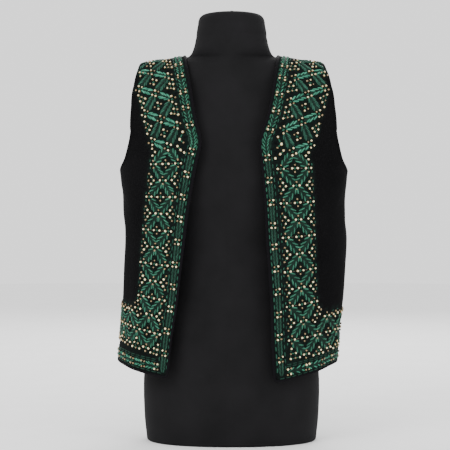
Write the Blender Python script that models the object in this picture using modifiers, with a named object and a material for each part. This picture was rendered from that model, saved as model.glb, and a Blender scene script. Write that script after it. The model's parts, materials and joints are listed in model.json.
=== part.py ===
"""Embroidered folk vest, open at the front, hanging on a limbless dress form.

Metres, +Z up.  The front faces -Y and the wearer's left is +X.  The origin is
under the middle of the form's flat underside.

The cloth is cut from one envelope around the figure, worked out from the
sections below.  A place on it is an angle (0 at the centre front, a quarter
turn at the sides, half a turn at the centre back, negative on the wearer's
right) and a level, the distance up the cloth from the hem to the shoulder
ridge.  The envelope is the inside face of the cloth.
"""
import math
from collections import namedtuple

import bmesh
import bpy
from mathutils import Vector

MM = 0.001

# ---------------------------------------------------------------- sizes

SEAM_GAP = 0.3 * MM          # between two pieces that meet
WOOL = 2.0 * MM              # black felted wool
STITCHED = 2.8 * MM          # the same wool with its embroidery on it
BINDING_WIDTH = 4.5 * MM
BINDING_THICKNESS = 3.0 * MM
BINDING_ROUNDING = 0.7 * MM
CORNER_RADIUS = 8.0 * MM     # front edge to hem
CORNER_CUT = 1.3 * MM        # the front's own corner, inside the round of its binding

SECTION_POWER = 2.4          # squareness of a section through the cloth
NECK_HALF_WIDTH = 0.0865     # at the shoulder ridge
SHOULDER_SLOPE = 0.17        # fall of the ridge from the neck to the tip
SHOULDER_START = 0.60        # height where that fall begins
HEM_RISE = 0.0245            # the sides and back hang higher than the fronts,
HEM_DIP = {-1: 0.0085, 1: 0.0135}           # and the fronts lower towards the opening

# one row for each section through the cloth, from the hem to the ridge; edges
# and armhole are distances out from the middle
Section = namedtuple("Section", "height half_width shift front back right_edge left_edge armhole")
SECTIONS = [
    Section(0.1270, 0.2050, -0.0090, 0.1270, 0.1120, 0.1157, 0.0754, 0.1915),
    Section(0.1970, 0.2050, -0.0048, 0.1240, 0.1080, 0.1084, 0.0715, 0.1915),
    Section(0.2620, 0.2075, 0.0008, 0.1210, 0.1030, 0.0985, 0.0700, 0.1915),
    Section(0.3200, 0.2090, 0.0042, 0.1190, 0.0990, 0.0920, 0.0665, 0.1915),
    Section(0.3780, 0.2090, 0.0074, 0.1180, 0.0970, 0.0845, 0.0620, 0.1915),
    Section(0.4300, 0.2070, 0.0048, 0.1190, 0.0990, 0.0778, 0.0600, 0.1915),
    Section(0.4900, 0.2120, 0.0045, 0.1210, 0.1040, 0.0679, 0.0560, 0.1915),
    Section(0.5250, 0.2150, 0.0045, 0.1200, 0.1070, 0.0610, 0.0525, 0.1915),
    Section(0.5560, 0.2190, 0.0040, 0.1170, 0.1080, 0.0546, 0.0500, 0.1915),
    Section(0.6060, 0.2220, 0.0030, 0.1060, 0.1050, 0.0661, 0.0652, 0.1895),
    Section(0.6500, 0.2270, 0.0020, 0.0900, 0.0950, 0.0730, 0.0742, 0.1865),
    Section(0.6880, 0.2400, 0.0015, 0.0660, 0.0730, 0.0795, 0.0798, 0.1805),
    Section(0.7110, 0.2550, 0.0010, 0.0400, 0.0450, 0.0835, 0.0838, 0.1758),
    Section(0.7220, 0.2620, 0.0010, 0.0170, 0.0190, 0.0858, 0.0860, 0.1728),
    Section(0.7245, 0.2640, 0.0010, SEAM_GAP / 2, SEAM_GAP / 2, 0.0865, 0.0865, 0.1715),
]

# soft folds that run down the cloth: deep is how far the cloth stands out there
Fold = namedtuple("Fold", "angle spread bottom top deep")
FOLDS = [
    Fold(-52, 13, -0.10, 0.30, 0.0035),
    Fold(-88, 15, -0.06, 0.36, -0.0040),
    Fold(-118, 14, -0.12, 0.33, 0.0060),
    Fold(-146, 11, -0.10, 0.27, -0.0045),
    Fold(-169, 12, -0.14, 0.36, 0.0055),
    Fold(162, 12, -0.10, 0.24, -0.0050),
    Fold(136, 13, -0.14, 0.38, 0.0065),
    Fold(108, 13, -0.08, 0.29, -0.0045),
    Fold(76, 14, -0.12, 0.25, 0.0040),
    Fold(38, 11, -0.10, 0.21, -0.0025),
]

UNDERARM_HEIGHT = 0.507
SCOOP_RISE = 0.078           # height of the round part of the armhole
SEAM_ANGLE = {-1: 95, 1: 89}             # side seams, wearer's right and left

BAND_WIDTH = 0.092           # embroidery down each front
CHEST_BAND_WIDTH = 0.104     # the same from the chest up
CHEST_HEIGHT = 0.556
SIDE_BAND_LEVEL = 0.106      # embroidery above the hem out to the side
HOLLOW_RADIUS = 0.028        # round bottom of the plain ground
BORDER_SHARE_LIMIT = 0.90

BACK_NECK_DROP = 0.052       # down the cloth from the ridge at the centre back

# the dress form: one row for each ring, from the underside to the knot of its
# jersey cover; a ring's side, front and back lie at heights of their own
Ring = namedtuple("Ring", "side_height half_width front_height front back_height back power")
FORM_RINGS = [
    Ring(0.000, 0.1600, 0.000, 0.1080, 0.000, 0.0980, 2.2),
    Ring(0.050, 0.1650, 0.050, 0.1120, 0.050, 0.1010, 2.2),
    Ring(0.120, 0.1660, 0.120, 0.1130, 0.120, 0.1000, 2.2),
    Ring(0.200, 0.1580, 0.200, 0.1060, 0.200, 0.0930, 2.2),
    Ring(0.280, 0.1420, 0.280, 0.0950, 0.280, 0.0830, 2.2),
    Ring(0.350, 0.1330, 0.350, 0.0890, 0.350, 0.0770, 2.2),
    Ring(0.420, 0.1400, 0.420, 0.0960, 0.420, 0.0820, 2.2),
    Ring(0.480, 0.1500, 0.480, 0.1080, 0.480, 0.0900, 2.2),
    Ring(0.530, 0.1560, 0.530, 0.1060, 0.530, 0.0950, 2.2),
    Ring(0.580, 0.1590, 0.575, 0.0960, 0.580, 0.0950, 2.2),
    Ring(0.625, 0.1620, 0.615, 0.0840, 0.625, 0.0870, 2.1),
    Ring(0.660, 0.1650, 0.645, 0.0755, 0.658, 0.0760, 2.0),
    Ring(0.686, 0.1670, 0.666, 0.0705, 0.682, 0.0660, 1.8),
    Ring(0.7025, 0.1650, 0.680, 0.0675, 0.697, 0.0565, 1.6),
    Ring(0.7120, 0.1500, 0.691, 0.0655, 0.707, 0.0520, 1.45),
    Ring(0.7163, 0.1290, 0.701, 0.0640, 0.713, 0.0495, 1.30),
    Ring(0.7204, 0.1050, 0.710, 0.0630, 0.720, 0.0480, 1.20),
    Ring(0.7228, 0.0865, 0.718, 0.0625, 0.7265, 0.0470, 1.30),
    Ring(0.7275, 0.0780, 0.726, 0.0622, 0.733, 0.0465, 1.65),
    Ring(0.7380, 0.0725, 0.736, 0.0620, 0.742, 0.0460, 2.0),
    Ring(0.7540, 0.0685, 0.753, 0.0620, 0.756, 0.0455, 2.0),
    Ring(0.7740, 0.0655, 0.774, 0.0615, 0.774, 0.0450, 2.0),
    Ring(0.7920, 0.0628, 0.792, 0.0600, 0.792, 0.0440, 2.0),
    Ring(0.8000, 0.0585, 0.800, 0.0565, 0.800, 0.0410, 2.0),
    Ring(0.8040, 0.0500, 0.804, 0.0480, 0.804, 0.0340, 2.0),
    Ring(0.8060, 0.0300, 0.806, 0.0310, 0.806, 0.0180, 2.0),
    Ring(0.8060, 0.0090, 0.806, 0.0090, 0.806, 0.0080, 2.0),
    Ring(0.8075, 0.0050, 0.8075, 0.0050, 0.8075, 0.0045, 2.0),
    Ring(0.8105, 0.0042, 0.8105, 0.0042, 0.8105, 0.0040, 2.0),
    Ring(0.8120, 0.0022, 0.8120, 0.0022, 0.8120, 0.0022, 2.0),
]

# grid counts
FRONT_BAND_COLUMNS = 8
FRONT_PLAIN_COLUMNS = 8
SIDE_ROWS = 14
SCOOP_ROWS = 6
ARMHOLE_ROWS = 11
BACK_NECK_COLUMNS = 7
BACK_SHOULDER_COLUMNS = 7
CORNER_SEGMENTS = 3
FORM_SIDES = 40


# ---------------------------------------------------------------- helpers

def curve_through(places, values, at):
    """Smooth curve through the values, with a finite-difference slope at each."""
    last = len(places) - 1
    i = max(0, min(last - 1, sum(1 for place in places if place <= at) - 1))

    def slope(k):
        low, high = max(k - 1, 0), min(k + 1, last)
        return (values[high] - values[low]) / (places[high] - places[low])

    span = places[i + 1] - places[i]
    t = max(0.0, min(1.0, (at - places[i]) / span))
    rise = t * t * (3 - 2 * t)
    bend = t * (1 - t) * span
    return (values[i] * (1 - rise) + values[i + 1] * rise
            + bend * ((1 - t) * slope(i) - t * slope(i + 1)))


def ease(low, high, at):
    t = max(0.0, min(1.0, (at - low) / (high - low)))
    return t * t * (3 - 2 * t)


def mix(a, b, t):
    return a + (b - a) * t


def profile_lengths(sections):
    """Distance up the front of the cloth from the first section to each."""
    lengths = [0.0]
    for low, high in zip(sections, sections[1:]):
        lengths.append(lengths[-1] + math.hypot(high.front - low.front, high.height - low.height))
    return lengths


# ---------------------------------------------------------------- envelope

LEVELS = profile_lengths(SECTIONS)
TOP_LEVEL = LEVELS[-1]


def section(column, level):
    return curve_through(LEVELS, [getattr(row, column) for row in SECTIONS], level)


def level_at(height):
    low, high = 0.0, TOP_LEVEL
    for _ in range(40):
        middle = (low + high) / 2
        if section("height", middle) < height:
            low = middle
        else:
            high = middle
    return (low + high) / 2


UNDERARM_LEVEL = level_at(UNDERARM_HEIGHT)
SCOOP_LEVEL = UNDERARM_LEVEL + SCOOP_RISE
CHEST_LEVEL = level_at(CHEST_HEIGHT)
SLOPE_LEVEL = level_at(SHOULDER_START)


def fold_depth(angle, level):
    depth = 0.0
    for fold in FOLDS:
        across = math.remainder(angle - math.radians(fold.angle), 2 * math.pi) / math.radians(fold.spread)
        along = (level - fold.bottom) / (fold.top - fold.bottom)
        if abs(across) < 1 and 0 < along < 1:
            depth += fold.deep * (1 - across * across) ** 2 * math.sin(math.pi * along) ** 1.5
    return depth


def cloth_point(angle, level):
    """Inside face of the cloth."""
    side = math.copysign(1.0, math.sin(angle))
    out = abs(math.sin(angle)) ** (2 / SECTION_POWER)
    deep = abs(math.cos(angle)) ** (2 / SECTION_POWER)
    in_front = math.cos(angle) > 0
    x = side * section("half_width", level) * out
    y = -section("front", level) * deep if in_front else section("back", level) * deep
    swell = 1 + fold_depth(angle, level) / max(0.03, math.hypot(x, y))
    past_neck = max(0.0, abs(x) - NECK_HALF_WIDTH)
    fall = SHOULDER_SLOPE * past_neck * ease(SLOPE_LEVEL, TOP_LEVEL, level)
    sideways = math.sin(angle) ** 2 if in_front else 1.0
    rise = HEM_RISE * sideways - HEM_DIP[-1 if angle < 0 else 1] * (1 - sideways)
    rise *= (1 - min(1.0, level / UNDERARM_LEVEL)) ** 2
    return Vector((x * swell + section("shift", level), y * swell, section("height", level) - fall + rise))


def cloth_normal(angle, level):
    step = 0.5 * MM
    level = min(level, TOP_LEVEL - step)
    around = cloth_point(angle + step * 4, level) - cloth_point(angle - step * 4, level)
    up = cloth_point(angle, level + step) - cloth_point(angle, level - step)
    return around.cross(up).normalized()


def angle_of(side, x, level, back=False):
    """Angle where the envelope is x out from the middle, on the named side."""
    out = (x - side * section("shift", level)) / section("half_width", level)
    angle = math.asin(min(1.0, out ** (SECTION_POWER / 2)))
    return side * (math.pi - angle if back else angle)


def turn_for(distance, angle, level):
    """How far the angle turns over a short distance around the cloth."""
    step = 0.01
    speed = (cloth_point(angle + step, level) - cloth_point(angle, level)).length / step
    return distance / speed


def edge_angle(side, level, inset=0.0):
    """Front edge and neckline of one front, moved in from the cut edge."""
    column = "right_edge" if side < 0 else "left_edge"
    angle = angle_of(side, section(column, level), level)
    return angle + side * turn_for(inset, angle, level)


def armhole_angle(side, part, level):
    out = section("armhole", level) + side * section("shift", level)
    return abs(angle_of(side, out, level, back=part == "back"))


# ---------------------------------------------------------------- outlines of the pieces

ROW_COUNT = SIDE_ROWS + SCOOP_ROWS + ARMHOLE_ROWS


def outer_edge(side, part, row):
    """Side seam and armhole of a front or the back: angle and level."""
    seam = math.radians(SEAM_ANGLE[side])
    sign = -1 if part == "front" else 1
    gap = sign * turn_for(SEAM_GAP / 2, math.pi / 2, UNDERARM_LEVEL / 2)
    hem = BINDING_WIDTH + SEAM_GAP
    if row <= SIDE_ROWS:
        return seam + gap, mix(hem, UNDERARM_LEVEL, row / SIDE_ROWS)
    if row <= SIDE_ROWS + SCOOP_ROWS:
        turn = (row - SIDE_ROWS) / SCOOP_ROWS * math.pi / 2
        return (mix(seam + gap, armhole_angle(side, part, SCOOP_LEVEL), math.sin(turn)),
                UNDERARM_LEVEL + (SCOOP_LEVEL - UNDERARM_LEVEL) * (1 - math.cos(turn)))
    level = mix(SCOOP_LEVEL, TOP_LEVEL, (row - SIDE_ROWS - SCOOP_ROWS) / ARMHOLE_ROWS)
    return armhole_angle(side, part, level), level


def inner_level(row):
    """Level of a row where it starts, at the front edge or the centre back."""
    hem = BINDING_WIDTH + SEAM_GAP
    chest, collar = level_at(0.492), level_at(0.585)
    if row <= SIDE_ROWS:
        return mix(hem, chest, row / SIDE_ROWS)
    if row <= SIDE_ROWS + SCOOP_ROWS:
        return mix(chest, collar, (row - SIDE_ROWS) / SCOOP_ROWS)
    return mix(collar, TOP_LEVEL, (row - SIDE_ROWS - SCOOP_ROWS) / ARMHOLE_ROWS)


def grid_faces(mesh, rows):
    """Quads between rows of points that share corners where they coincide."""
    for lower, upper in zip(rows, rows[1:]):
        for a, b, c, d in zip(lower, lower[1:], upper[1:], upper):
            mesh.faces.new((a, b, c, d))


# ---------------------------------------------------------------- objects

def material(name, colour, roughness):
    made = bpy.data.materials.new(name)
    made.use_nodes = True
    shader = made.node_tree.nodes["Principled BSDF"]
    shader.inputs["Base Color"].default_value = (*colour, 1)
    shader.inputs["Roughness"].default_value = roughness
    shader.inputs["Metallic"].default_value = 0
    return made


def new_object(name, mesh, finish, collection):
    bmesh.ops.recalc_face_normals(mesh, faces=mesh.faces)
    data = bpy.data.meshes.new(name)
    mesh.to_mesh(data)
    mesh.free()
    data.materials.append(finish)
    data.shade_smooth()
    data.set_sharp_from_angle(angle=math.radians(40))
    made = bpy.data.objects.new(name, data)
    collection.objects.link(made)
    return made


def thicken(piece, weights):
    """Wool wall outward from the inside face, thicker where it is stitched."""
    group = piece.vertex_groups.new(name="stitched")
    for index, weight in enumerate(weights):
        group.add([index], weight, "REPLACE")
    wall = piece.modifiers.new("wall", "SOLIDIFY")
    wall.thickness = STITCHED
    wall.offset = 1.0
    wall.use_even_offset = True
    wall.use_rim = True
    wall.vertex_group = group.name
    wall.thickness_vertex_group = WOOL / STITCHED


def band_width(level):
    return mix(BAND_WIDTH, CHEST_BAND_WIDTH, ease(UNDERARM_LEVEL - 0.06, CHEST_LEVEL, level))


def stitched_share(side, angle, level):
    """1 on the embroidered bands of a front, 0 on its plain ground."""
    edge = edge_angle(side, level)
    from_edge = abs(angle - edge) / turn_for(1.0, (angle + edge) / 2, level)
    over_border = from_edge - band_width(level)
    over_hem = level - SIDE_BAND_LEVEL
    corner = HOLLOW_RADIUS
    if over_border < corner and over_hem < corner:
        inside = corner - math.hypot(corner - over_border, corner - over_hem)
    else:
        inside = min(over_border, over_hem)
    return 1 - ease(-1 * MM, 5 * MM, inside)


def front_row(side, row):
    """Angle and level of each point along one row of a front, from its edge."""
    outer_angle, outer_level = outer_edge(side, "front", row)
    level = inner_level(row)
    inner = abs(edge_angle(side, level, BINDING_WIDTH + SEAM_GAP))
    width = (outer_angle - inner) / turn_for(1.0, side * (inner + outer_angle) / 2, level)
    border = min(BORDER_SHARE_LIMIT, (band_width(level) - BINDING_WIDTH) / width)
    shares = [border * i / FRONT_BAND_COLUMNS for i in range(FRONT_BAND_COLUMNS)]
    shares += [mix(border, 1, i / FRONT_PLAIN_COLUMNS) for i in range(FRONT_PLAIN_COLUMNS + 1)]
    return [(side * mix(inner, outer_angle, share), mix(level, outer_level, share)) for share in shares]


def make_front(name, side, finish, collection):
    mesh = bmesh.new()
    rows, weights = [], []
    for row in range(ROW_COUNT + 1):
        places = front_row(side, row)
        rows.append([mesh.verts.new(cloth_point(*place)) for place in places])
        weights += [stitched_share(side, *place) for place in places]
    hem = BINDING_WIDTH + SEAM_GAP
    rows[0][0].co = cloth_point(edge_angle(side, hem, hem + CORNER_CUT), hem + CORNER_CUT)
    grid_faces(mesh, rows if side < 0 else [line[::-1] for line in rows])
    piece = new_object(name, mesh, finish, collection)
    thicken(piece, weights)
    return piece


def back_neckline(side, turn, inset=0.0):
    """Angle and level on the back neckline; turn 0 is the centre back."""
    x = (NECK_HALF_WIDTH + inset) * math.sin(turn)
    level = TOP_LEVEL - (BACK_NECK_DROP + inset) * math.cos(turn)
    return angle_of(side, x, level, back=True) if x else math.pi * side, level


def back_top(side, column):
    """Neckline, then shoulder seam: angle and level along the back's top."""
    hem = BINDING_WIDTH + SEAM_GAP
    if column <= BACK_NECK_COLUMNS:
        angle, level = back_neckline(side, column / BACK_NECK_COLUMNS * math.pi / 2, hem)
        return abs(angle), level
    neck = abs(back_neckline(side, math.pi / 2, hem)[0])
    along = (column - BACK_NECK_COLUMNS) / BACK_SHOULDER_COLUMNS
    return mix(neck, armhole_angle(side, "back", TOP_LEVEL), along), TOP_LEVEL


def make_back(name, finish, collection):
    mesh = bmesh.new()
    columns = BACK_NECK_COLUMNS + BACK_SHOULDER_COLUMNS
    hem = BINDING_WIDTH + SEAM_GAP
    rows = []
    for row in range(ROW_COUNT + 1):
        up = (inner_level(row) - hem) / (TOP_LEVEL - hem)
        line = []
        for side in (-1, 1):
            outer_angle, outer_level = outer_edge(side, "back", row)
            hem_angle = outer_edge(side, "back", 0)[0]
            tip_angle, tip_level = outer_edge(side, "back", ROW_COUNT)
            centre_level = mix(hem, back_top(side, 0)[1], up)
            half = []
            for column in range(columns + 1):
                across = column / columns
                top_angle, top_level = back_top(side, column)
                bottom_angle = mix(math.pi, hem_angle, across)
                angle = (mix(math.pi, outer_angle, across) + mix(bottom_angle, top_angle, up)
                         - mix(bottom_angle, mix(math.pi, tip_angle, across), up))
                level = (mix(centre_level, outer_level, across) + mix(hem, top_level, up)
                         - mix(hem, mix(back_top(side, 0)[1], tip_level, across), up))
                half.append(cloth_point(side * angle, min(level, TOP_LEVEL)))
            line.append(half)
        right, left = line
        rows.append([mesh.verts.new(point) for point in right[::-1] + left[1:]])
    grid_faces(mesh, rows)
    piece = new_object(name, mesh, finish, collection)
    thicken(piece, [0.0] * sum(len(row) for row in rows))
    return piece


def binding_strip(name, places, finish, collection):
    """Folded strip over an edge; places gives, for an inset, an angle and level."""
    width, high, round_off = BINDING_WIDTH, BINDING_THICKNESS, BINDING_ROUNDING
    outline = [(0, 0), (0, high - round_off), (round_off, high), (width - round_off, high),
               (width, high - round_off), (width, 0)]
    mesh = bmesh.new()
    rings = []
    for place in places:
        ring = []
        for inset, out in outline:
            angle, level = place(inset)
            ring.append(mesh.verts.new(cloth_point(angle, level) + cloth_normal(angle, level) * out))
        rings.append(ring)
    for one, other in zip(rings, rings[1:]):
        for i in range(len(outline)):
            j = (i + 1) % len(outline)
            mesh.faces.new((one[i], one[j], other[j], other[i]))
    mesh.faces.new(rings[0])
    mesh.faces.new(rings[-1][::-1])
    return new_object(name, mesh, finish, collection)


def front_binding_places(side):
    """Down the neckline and front edge, round the corner, out along the hem."""
    places = []
    levels = [inner_level(row) for row in range(ROW_COUNT, 0, -1)] + [CORNER_RADIUS]
    for level in levels:
        places.append(lambda inset, level=level: (edge_angle(side, level, inset), level))
    for i in range(1, CORNER_SEGMENTS):
        turn = i / CORNER_SEGMENTS * math.pi / 2

        def place(inset, turn=turn):
            radius = CORNER_RADIUS - inset
            level = CORNER_RADIUS - radius * math.sin(turn)
            return edge_angle(side, level, CORNER_RADIUS - radius * math.cos(turn)), level
        places.append(place)
    start = edge_angle(side, 0, CORNER_RADIUS)
    angles = [start] + [angle for angle, _ in front_row(side, 0) if abs(angle) > abs(start)]
    for angle in angles:
        places.append(lambda inset, angle=angle: (angle, inset))
    return places


def back_neck_places():
    """Round the back neck, from the right shoulder seam to the left one."""
    places = []
    for column in range(-BACK_NECK_COLUMNS, BACK_NECK_COLUMNS + 1):
        side = -1 if column < 0 else 1
        turn = abs(column) / BACK_NECK_COLUMNS * math.pi / 2
        places.append(lambda inset, side=side, turn=turn: back_neckline(side, turn, inset))
    return places


def back_hem_places():
    """Along the back hem, from the right side seam to the left one."""
    columns = BACK_NECK_COLUMNS + BACK_SHOULDER_COLUMNS
    places = []
    for column in range(-columns, columns + 1):
        side = -1 if column < 0 else 1
        angle = side * mix(math.pi, outer_edge(side, "back", 0)[0], abs(column) / columns)
        places.append(lambda inset, angle=angle: (angle, inset))
    return places


def make_form(name, finish, collection):
    """Smooth limbless torso with its neck, lofted through its rings."""
    mesh = bmesh.new()
    rings = []
    for size in FORM_RINGS:
        ring = []
        for i in range(FORM_SIDES):
            angle = 2 * math.pi * i / FORM_SIDES
            out, deep = math.sin(angle), math.cos(angle)
            depth, height = (size.front, size.front_height) if deep > 0 else (size.back, size.back_height)
            x = math.copysign(abs(out) ** (2 / size.power), out) * size.half_width
            y = -math.copysign(abs(deep) ** (2 / size.power), deep) * depth
            z = mix(size.side_height, height, deep * deep)
            ring.append(mesh.verts.new((x, y, z)))
        rings.append(ring)
    for lower, upper in zip(rings, rings[1:]):
        for i in range(FORM_SIDES):
            j = (i + 1) % FORM_SIDES
            mesh.faces.new((lower[i], lower[j], upper[j], upper[i]))
    mesh.faces.new(rings[0][::-1])
    mesh.faces.new(rings[-1])
    return new_object(name, mesh, finish, collection)


def main():
    for old in list(bpy.data.objects):
        bpy.data.objects.remove(old, do_unlink=True)
    collection = bpy.data.collections.new("embroidered_folk_vest")
    bpy.context.scene.collection.children.link(collection)
    wool = material("black_wool", (0.006, 0.006, 0.007), 0.95)
    braid = material("black_braid", (0.008, 0.007, 0.009), 0.80)
    jersey = material("charcoal_jersey", (0.020, 0.019, 0.020), 0.90)

    for name, side in (("right", -1), ("left", 1)):
        make_front(f"front_{name}", side, wool, collection)
        binding_strip(f"binding_front_{name}", front_binding_places(side), braid, collection)
    make_back("back", wool, collection)

    binding_strip("binding_back_neck", back_neck_places(), braid, collection)
    binding_strip("binding_back_hem", back_hem_places(), braid, collection)
    make_form("dress_form", jersey, collection)


main()
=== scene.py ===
"""Looks of an embroidered folk vest, open at the front, on a limbless dress form.

Metres, +Z up.  The front faces -Y and the wearer's left is +X, as in the solids.
Each front is black wool with its embroidery laid on it: green stitches and cream
beads, drawn on the front laid out flat and then carried onto the hanging cloth.
"""

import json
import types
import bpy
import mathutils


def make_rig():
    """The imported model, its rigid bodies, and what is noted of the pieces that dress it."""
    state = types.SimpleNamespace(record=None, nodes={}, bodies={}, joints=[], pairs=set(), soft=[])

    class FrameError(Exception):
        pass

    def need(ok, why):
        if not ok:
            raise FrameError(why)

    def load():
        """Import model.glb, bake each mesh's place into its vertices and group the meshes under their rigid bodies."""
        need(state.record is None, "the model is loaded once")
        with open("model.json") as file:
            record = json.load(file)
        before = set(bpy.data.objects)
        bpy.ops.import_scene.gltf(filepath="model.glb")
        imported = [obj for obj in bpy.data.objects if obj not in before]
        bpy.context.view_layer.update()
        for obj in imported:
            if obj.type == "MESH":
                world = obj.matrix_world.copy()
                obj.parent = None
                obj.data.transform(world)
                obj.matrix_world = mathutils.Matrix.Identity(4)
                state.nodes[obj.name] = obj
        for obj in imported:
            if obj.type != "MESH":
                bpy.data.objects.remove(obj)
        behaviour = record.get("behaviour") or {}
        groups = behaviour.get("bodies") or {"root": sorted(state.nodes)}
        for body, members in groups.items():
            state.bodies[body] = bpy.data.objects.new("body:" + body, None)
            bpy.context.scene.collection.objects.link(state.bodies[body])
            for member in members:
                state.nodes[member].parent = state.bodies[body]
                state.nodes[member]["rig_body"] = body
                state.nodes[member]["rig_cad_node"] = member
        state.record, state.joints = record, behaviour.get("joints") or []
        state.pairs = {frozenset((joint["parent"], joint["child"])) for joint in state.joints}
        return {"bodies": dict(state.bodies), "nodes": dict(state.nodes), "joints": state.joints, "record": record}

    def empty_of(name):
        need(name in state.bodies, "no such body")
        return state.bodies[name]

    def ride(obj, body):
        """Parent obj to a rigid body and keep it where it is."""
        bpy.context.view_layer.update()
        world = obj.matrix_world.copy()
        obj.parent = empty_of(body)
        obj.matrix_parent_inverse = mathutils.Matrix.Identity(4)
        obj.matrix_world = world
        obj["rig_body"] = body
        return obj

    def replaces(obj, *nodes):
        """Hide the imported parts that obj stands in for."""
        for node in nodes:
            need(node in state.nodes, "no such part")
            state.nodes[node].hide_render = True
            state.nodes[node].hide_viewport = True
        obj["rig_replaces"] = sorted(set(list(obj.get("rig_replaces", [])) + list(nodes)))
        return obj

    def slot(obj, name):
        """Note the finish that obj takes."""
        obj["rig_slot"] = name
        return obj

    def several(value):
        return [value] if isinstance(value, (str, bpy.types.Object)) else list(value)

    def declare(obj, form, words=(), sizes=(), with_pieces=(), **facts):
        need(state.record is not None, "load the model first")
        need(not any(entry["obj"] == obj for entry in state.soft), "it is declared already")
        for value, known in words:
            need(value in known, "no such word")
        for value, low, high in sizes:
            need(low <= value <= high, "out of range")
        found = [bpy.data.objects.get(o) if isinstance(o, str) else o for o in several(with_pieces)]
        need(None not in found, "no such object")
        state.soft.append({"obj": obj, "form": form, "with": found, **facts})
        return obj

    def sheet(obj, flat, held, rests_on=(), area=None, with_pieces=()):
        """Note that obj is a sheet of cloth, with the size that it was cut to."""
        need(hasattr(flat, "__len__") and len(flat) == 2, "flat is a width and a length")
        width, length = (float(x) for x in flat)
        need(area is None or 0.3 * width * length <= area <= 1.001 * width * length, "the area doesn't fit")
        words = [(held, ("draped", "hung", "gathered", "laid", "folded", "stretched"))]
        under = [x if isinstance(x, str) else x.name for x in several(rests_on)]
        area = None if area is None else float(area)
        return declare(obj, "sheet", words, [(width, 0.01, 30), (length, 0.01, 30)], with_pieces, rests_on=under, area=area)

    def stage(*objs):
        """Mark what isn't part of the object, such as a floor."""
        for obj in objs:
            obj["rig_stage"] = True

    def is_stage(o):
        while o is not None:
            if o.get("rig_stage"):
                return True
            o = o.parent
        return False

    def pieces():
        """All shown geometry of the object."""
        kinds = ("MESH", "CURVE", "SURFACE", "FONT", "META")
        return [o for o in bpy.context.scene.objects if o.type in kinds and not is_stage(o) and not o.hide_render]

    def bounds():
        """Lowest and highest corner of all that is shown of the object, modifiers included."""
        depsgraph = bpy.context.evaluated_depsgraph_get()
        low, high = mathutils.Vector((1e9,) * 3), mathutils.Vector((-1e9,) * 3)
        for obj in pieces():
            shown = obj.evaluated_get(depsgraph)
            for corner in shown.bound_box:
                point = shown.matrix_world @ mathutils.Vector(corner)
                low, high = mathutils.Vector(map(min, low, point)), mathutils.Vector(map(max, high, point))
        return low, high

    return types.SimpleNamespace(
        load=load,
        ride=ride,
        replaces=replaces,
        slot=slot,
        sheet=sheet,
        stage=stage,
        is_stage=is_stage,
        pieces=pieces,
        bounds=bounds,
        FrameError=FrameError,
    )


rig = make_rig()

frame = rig.load()
cad_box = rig.bounds()

import json
import math
import random
from collections import namedtuple

import bmesh
import bpy
import numpy as np
from mathutils.kdtree import KDTree

MM = 0.001

# ---- the cloth's envelope
# The same numbers and curves as the solids: a place on the cloth is an angle (0 at
# the centre front, positive on the wearer's left) and a level, the distance up the
# front from the hem.  The envelope is the inside face of the cloth.  Tables keyed
# -1 and 1 are for the wearer's right and left side.

SEAM_GAP = 0.3 * MM
WOOL = 2.0 * MM
CORNER_RADIUS = 8.0 * MM
SECTION_POWER = 2.4
NECK_HALF_WIDTH = 0.0865
SHOULDER_SLOPE = 0.17
HEM_RISE = 0.0245
HEM_DIP = {-1: 0.0085, 1: 0.0135}
SCOOP_RISE = 0.078
SEAM_ANGLE = {-1: 95, 1: 89}
BACK_NECK_DROP = 0.052

# sections of the envelope up the front, in tenths of a millimetre
Section = namedtuple("Section", "height half_width shift front back right_edge left_edge armhole")
SECTIONS = np.array([
    (1270, 2050, -90, 1270, 1120, 1157, 754, 1915), (1970, 2050, -48, 1240, 1080, 1084, 715, 1915),
    (2620, 2075, 8, 1210, 1030, 985, 700, 1915), (3200, 2090, 42, 1190, 990, 920, 665, 1915),
    (3780, 2090, 74, 1180, 970, 845, 620, 1915), (4300, 2070, 48, 1190, 990, 778, 600, 1915),
    (4900, 2120, 45, 1210, 1040, 679, 560, 1915), (5250, 2150, 45, 1200, 1070, 610, 525, 1915),
    (5560, 2190, 40, 1170, 1080, 546, 500, 1915), (6060, 2220, 30, 1060, 1050, 661, 652, 1895),
    (6500, 2270, 20, 900, 950, 730, 742, 1865), (6880, 2400, 15, 660, 730, 795, 798, 1805),
    (7110, 2550, 10, 400, 450, 835, 838, 1758), (7220, 2620, 10, 170, 190, 858, 860, 1728),
    (7245, 2640, 10, 1.5, 1.5, 865, 865, 1715)]) / 10000

# soft upright folds: angle, spread, bottom and top level, depth outward
FOLDS = [
    (-52, 13, -0.1, 0.3, 0.0035), (-88, 15, -0.06, 0.36, -0.004), (-118, 14, -0.12, 0.33, 0.006),
    (-146, 11, -0.1, 0.27, -0.0045), (-169, 12, -0.14, 0.36, 0.0055), (162, 12, -0.1, 0.24, -0.005),
    (136, 13, -0.14, 0.38, 0.0065), (108, 13, -0.08, 0.29, -0.0045), (76, 14, -0.12, 0.25, 0.004),
    (38, 11, -0.1, 0.21, -0.0025),
]


def curve_through(places, values):
    """Smooth curve through the values, with a finite-difference slope at each."""
    places, values = np.array(places, float), np.array(values, float)
    before = np.maximum(np.arange(len(places)) - 1, 0)
    after = np.minimum(np.arange(len(places)) + 1, len(places) - 1)
    slopes = (values[after] - values[before]) / (places[after] - places[before])

    def curve(at):
        i = np.clip(np.searchsorted(places, at, side="right") - 1, 0, len(places) - 2)
        span = places[i + 1] - places[i]
        t = np.clip((at - places[i]) / span, 0, 1)
        rise = t * t * (3 - 2 * t)
        bend = t * (1 - t) * span
        return (values[i] * (1 - rise) + values[i + 1] * rise
                + bend * ((1 - t) * slopes[i] - t * slopes[i + 1]))
    return curve


def ease(low, high, at):
    t = np.clip((at - low) / (high - low), 0, 1)
    return t * t * (3 - 2 * t)


def mix(a, b, t):
    return a + (b - a) * t


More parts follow.
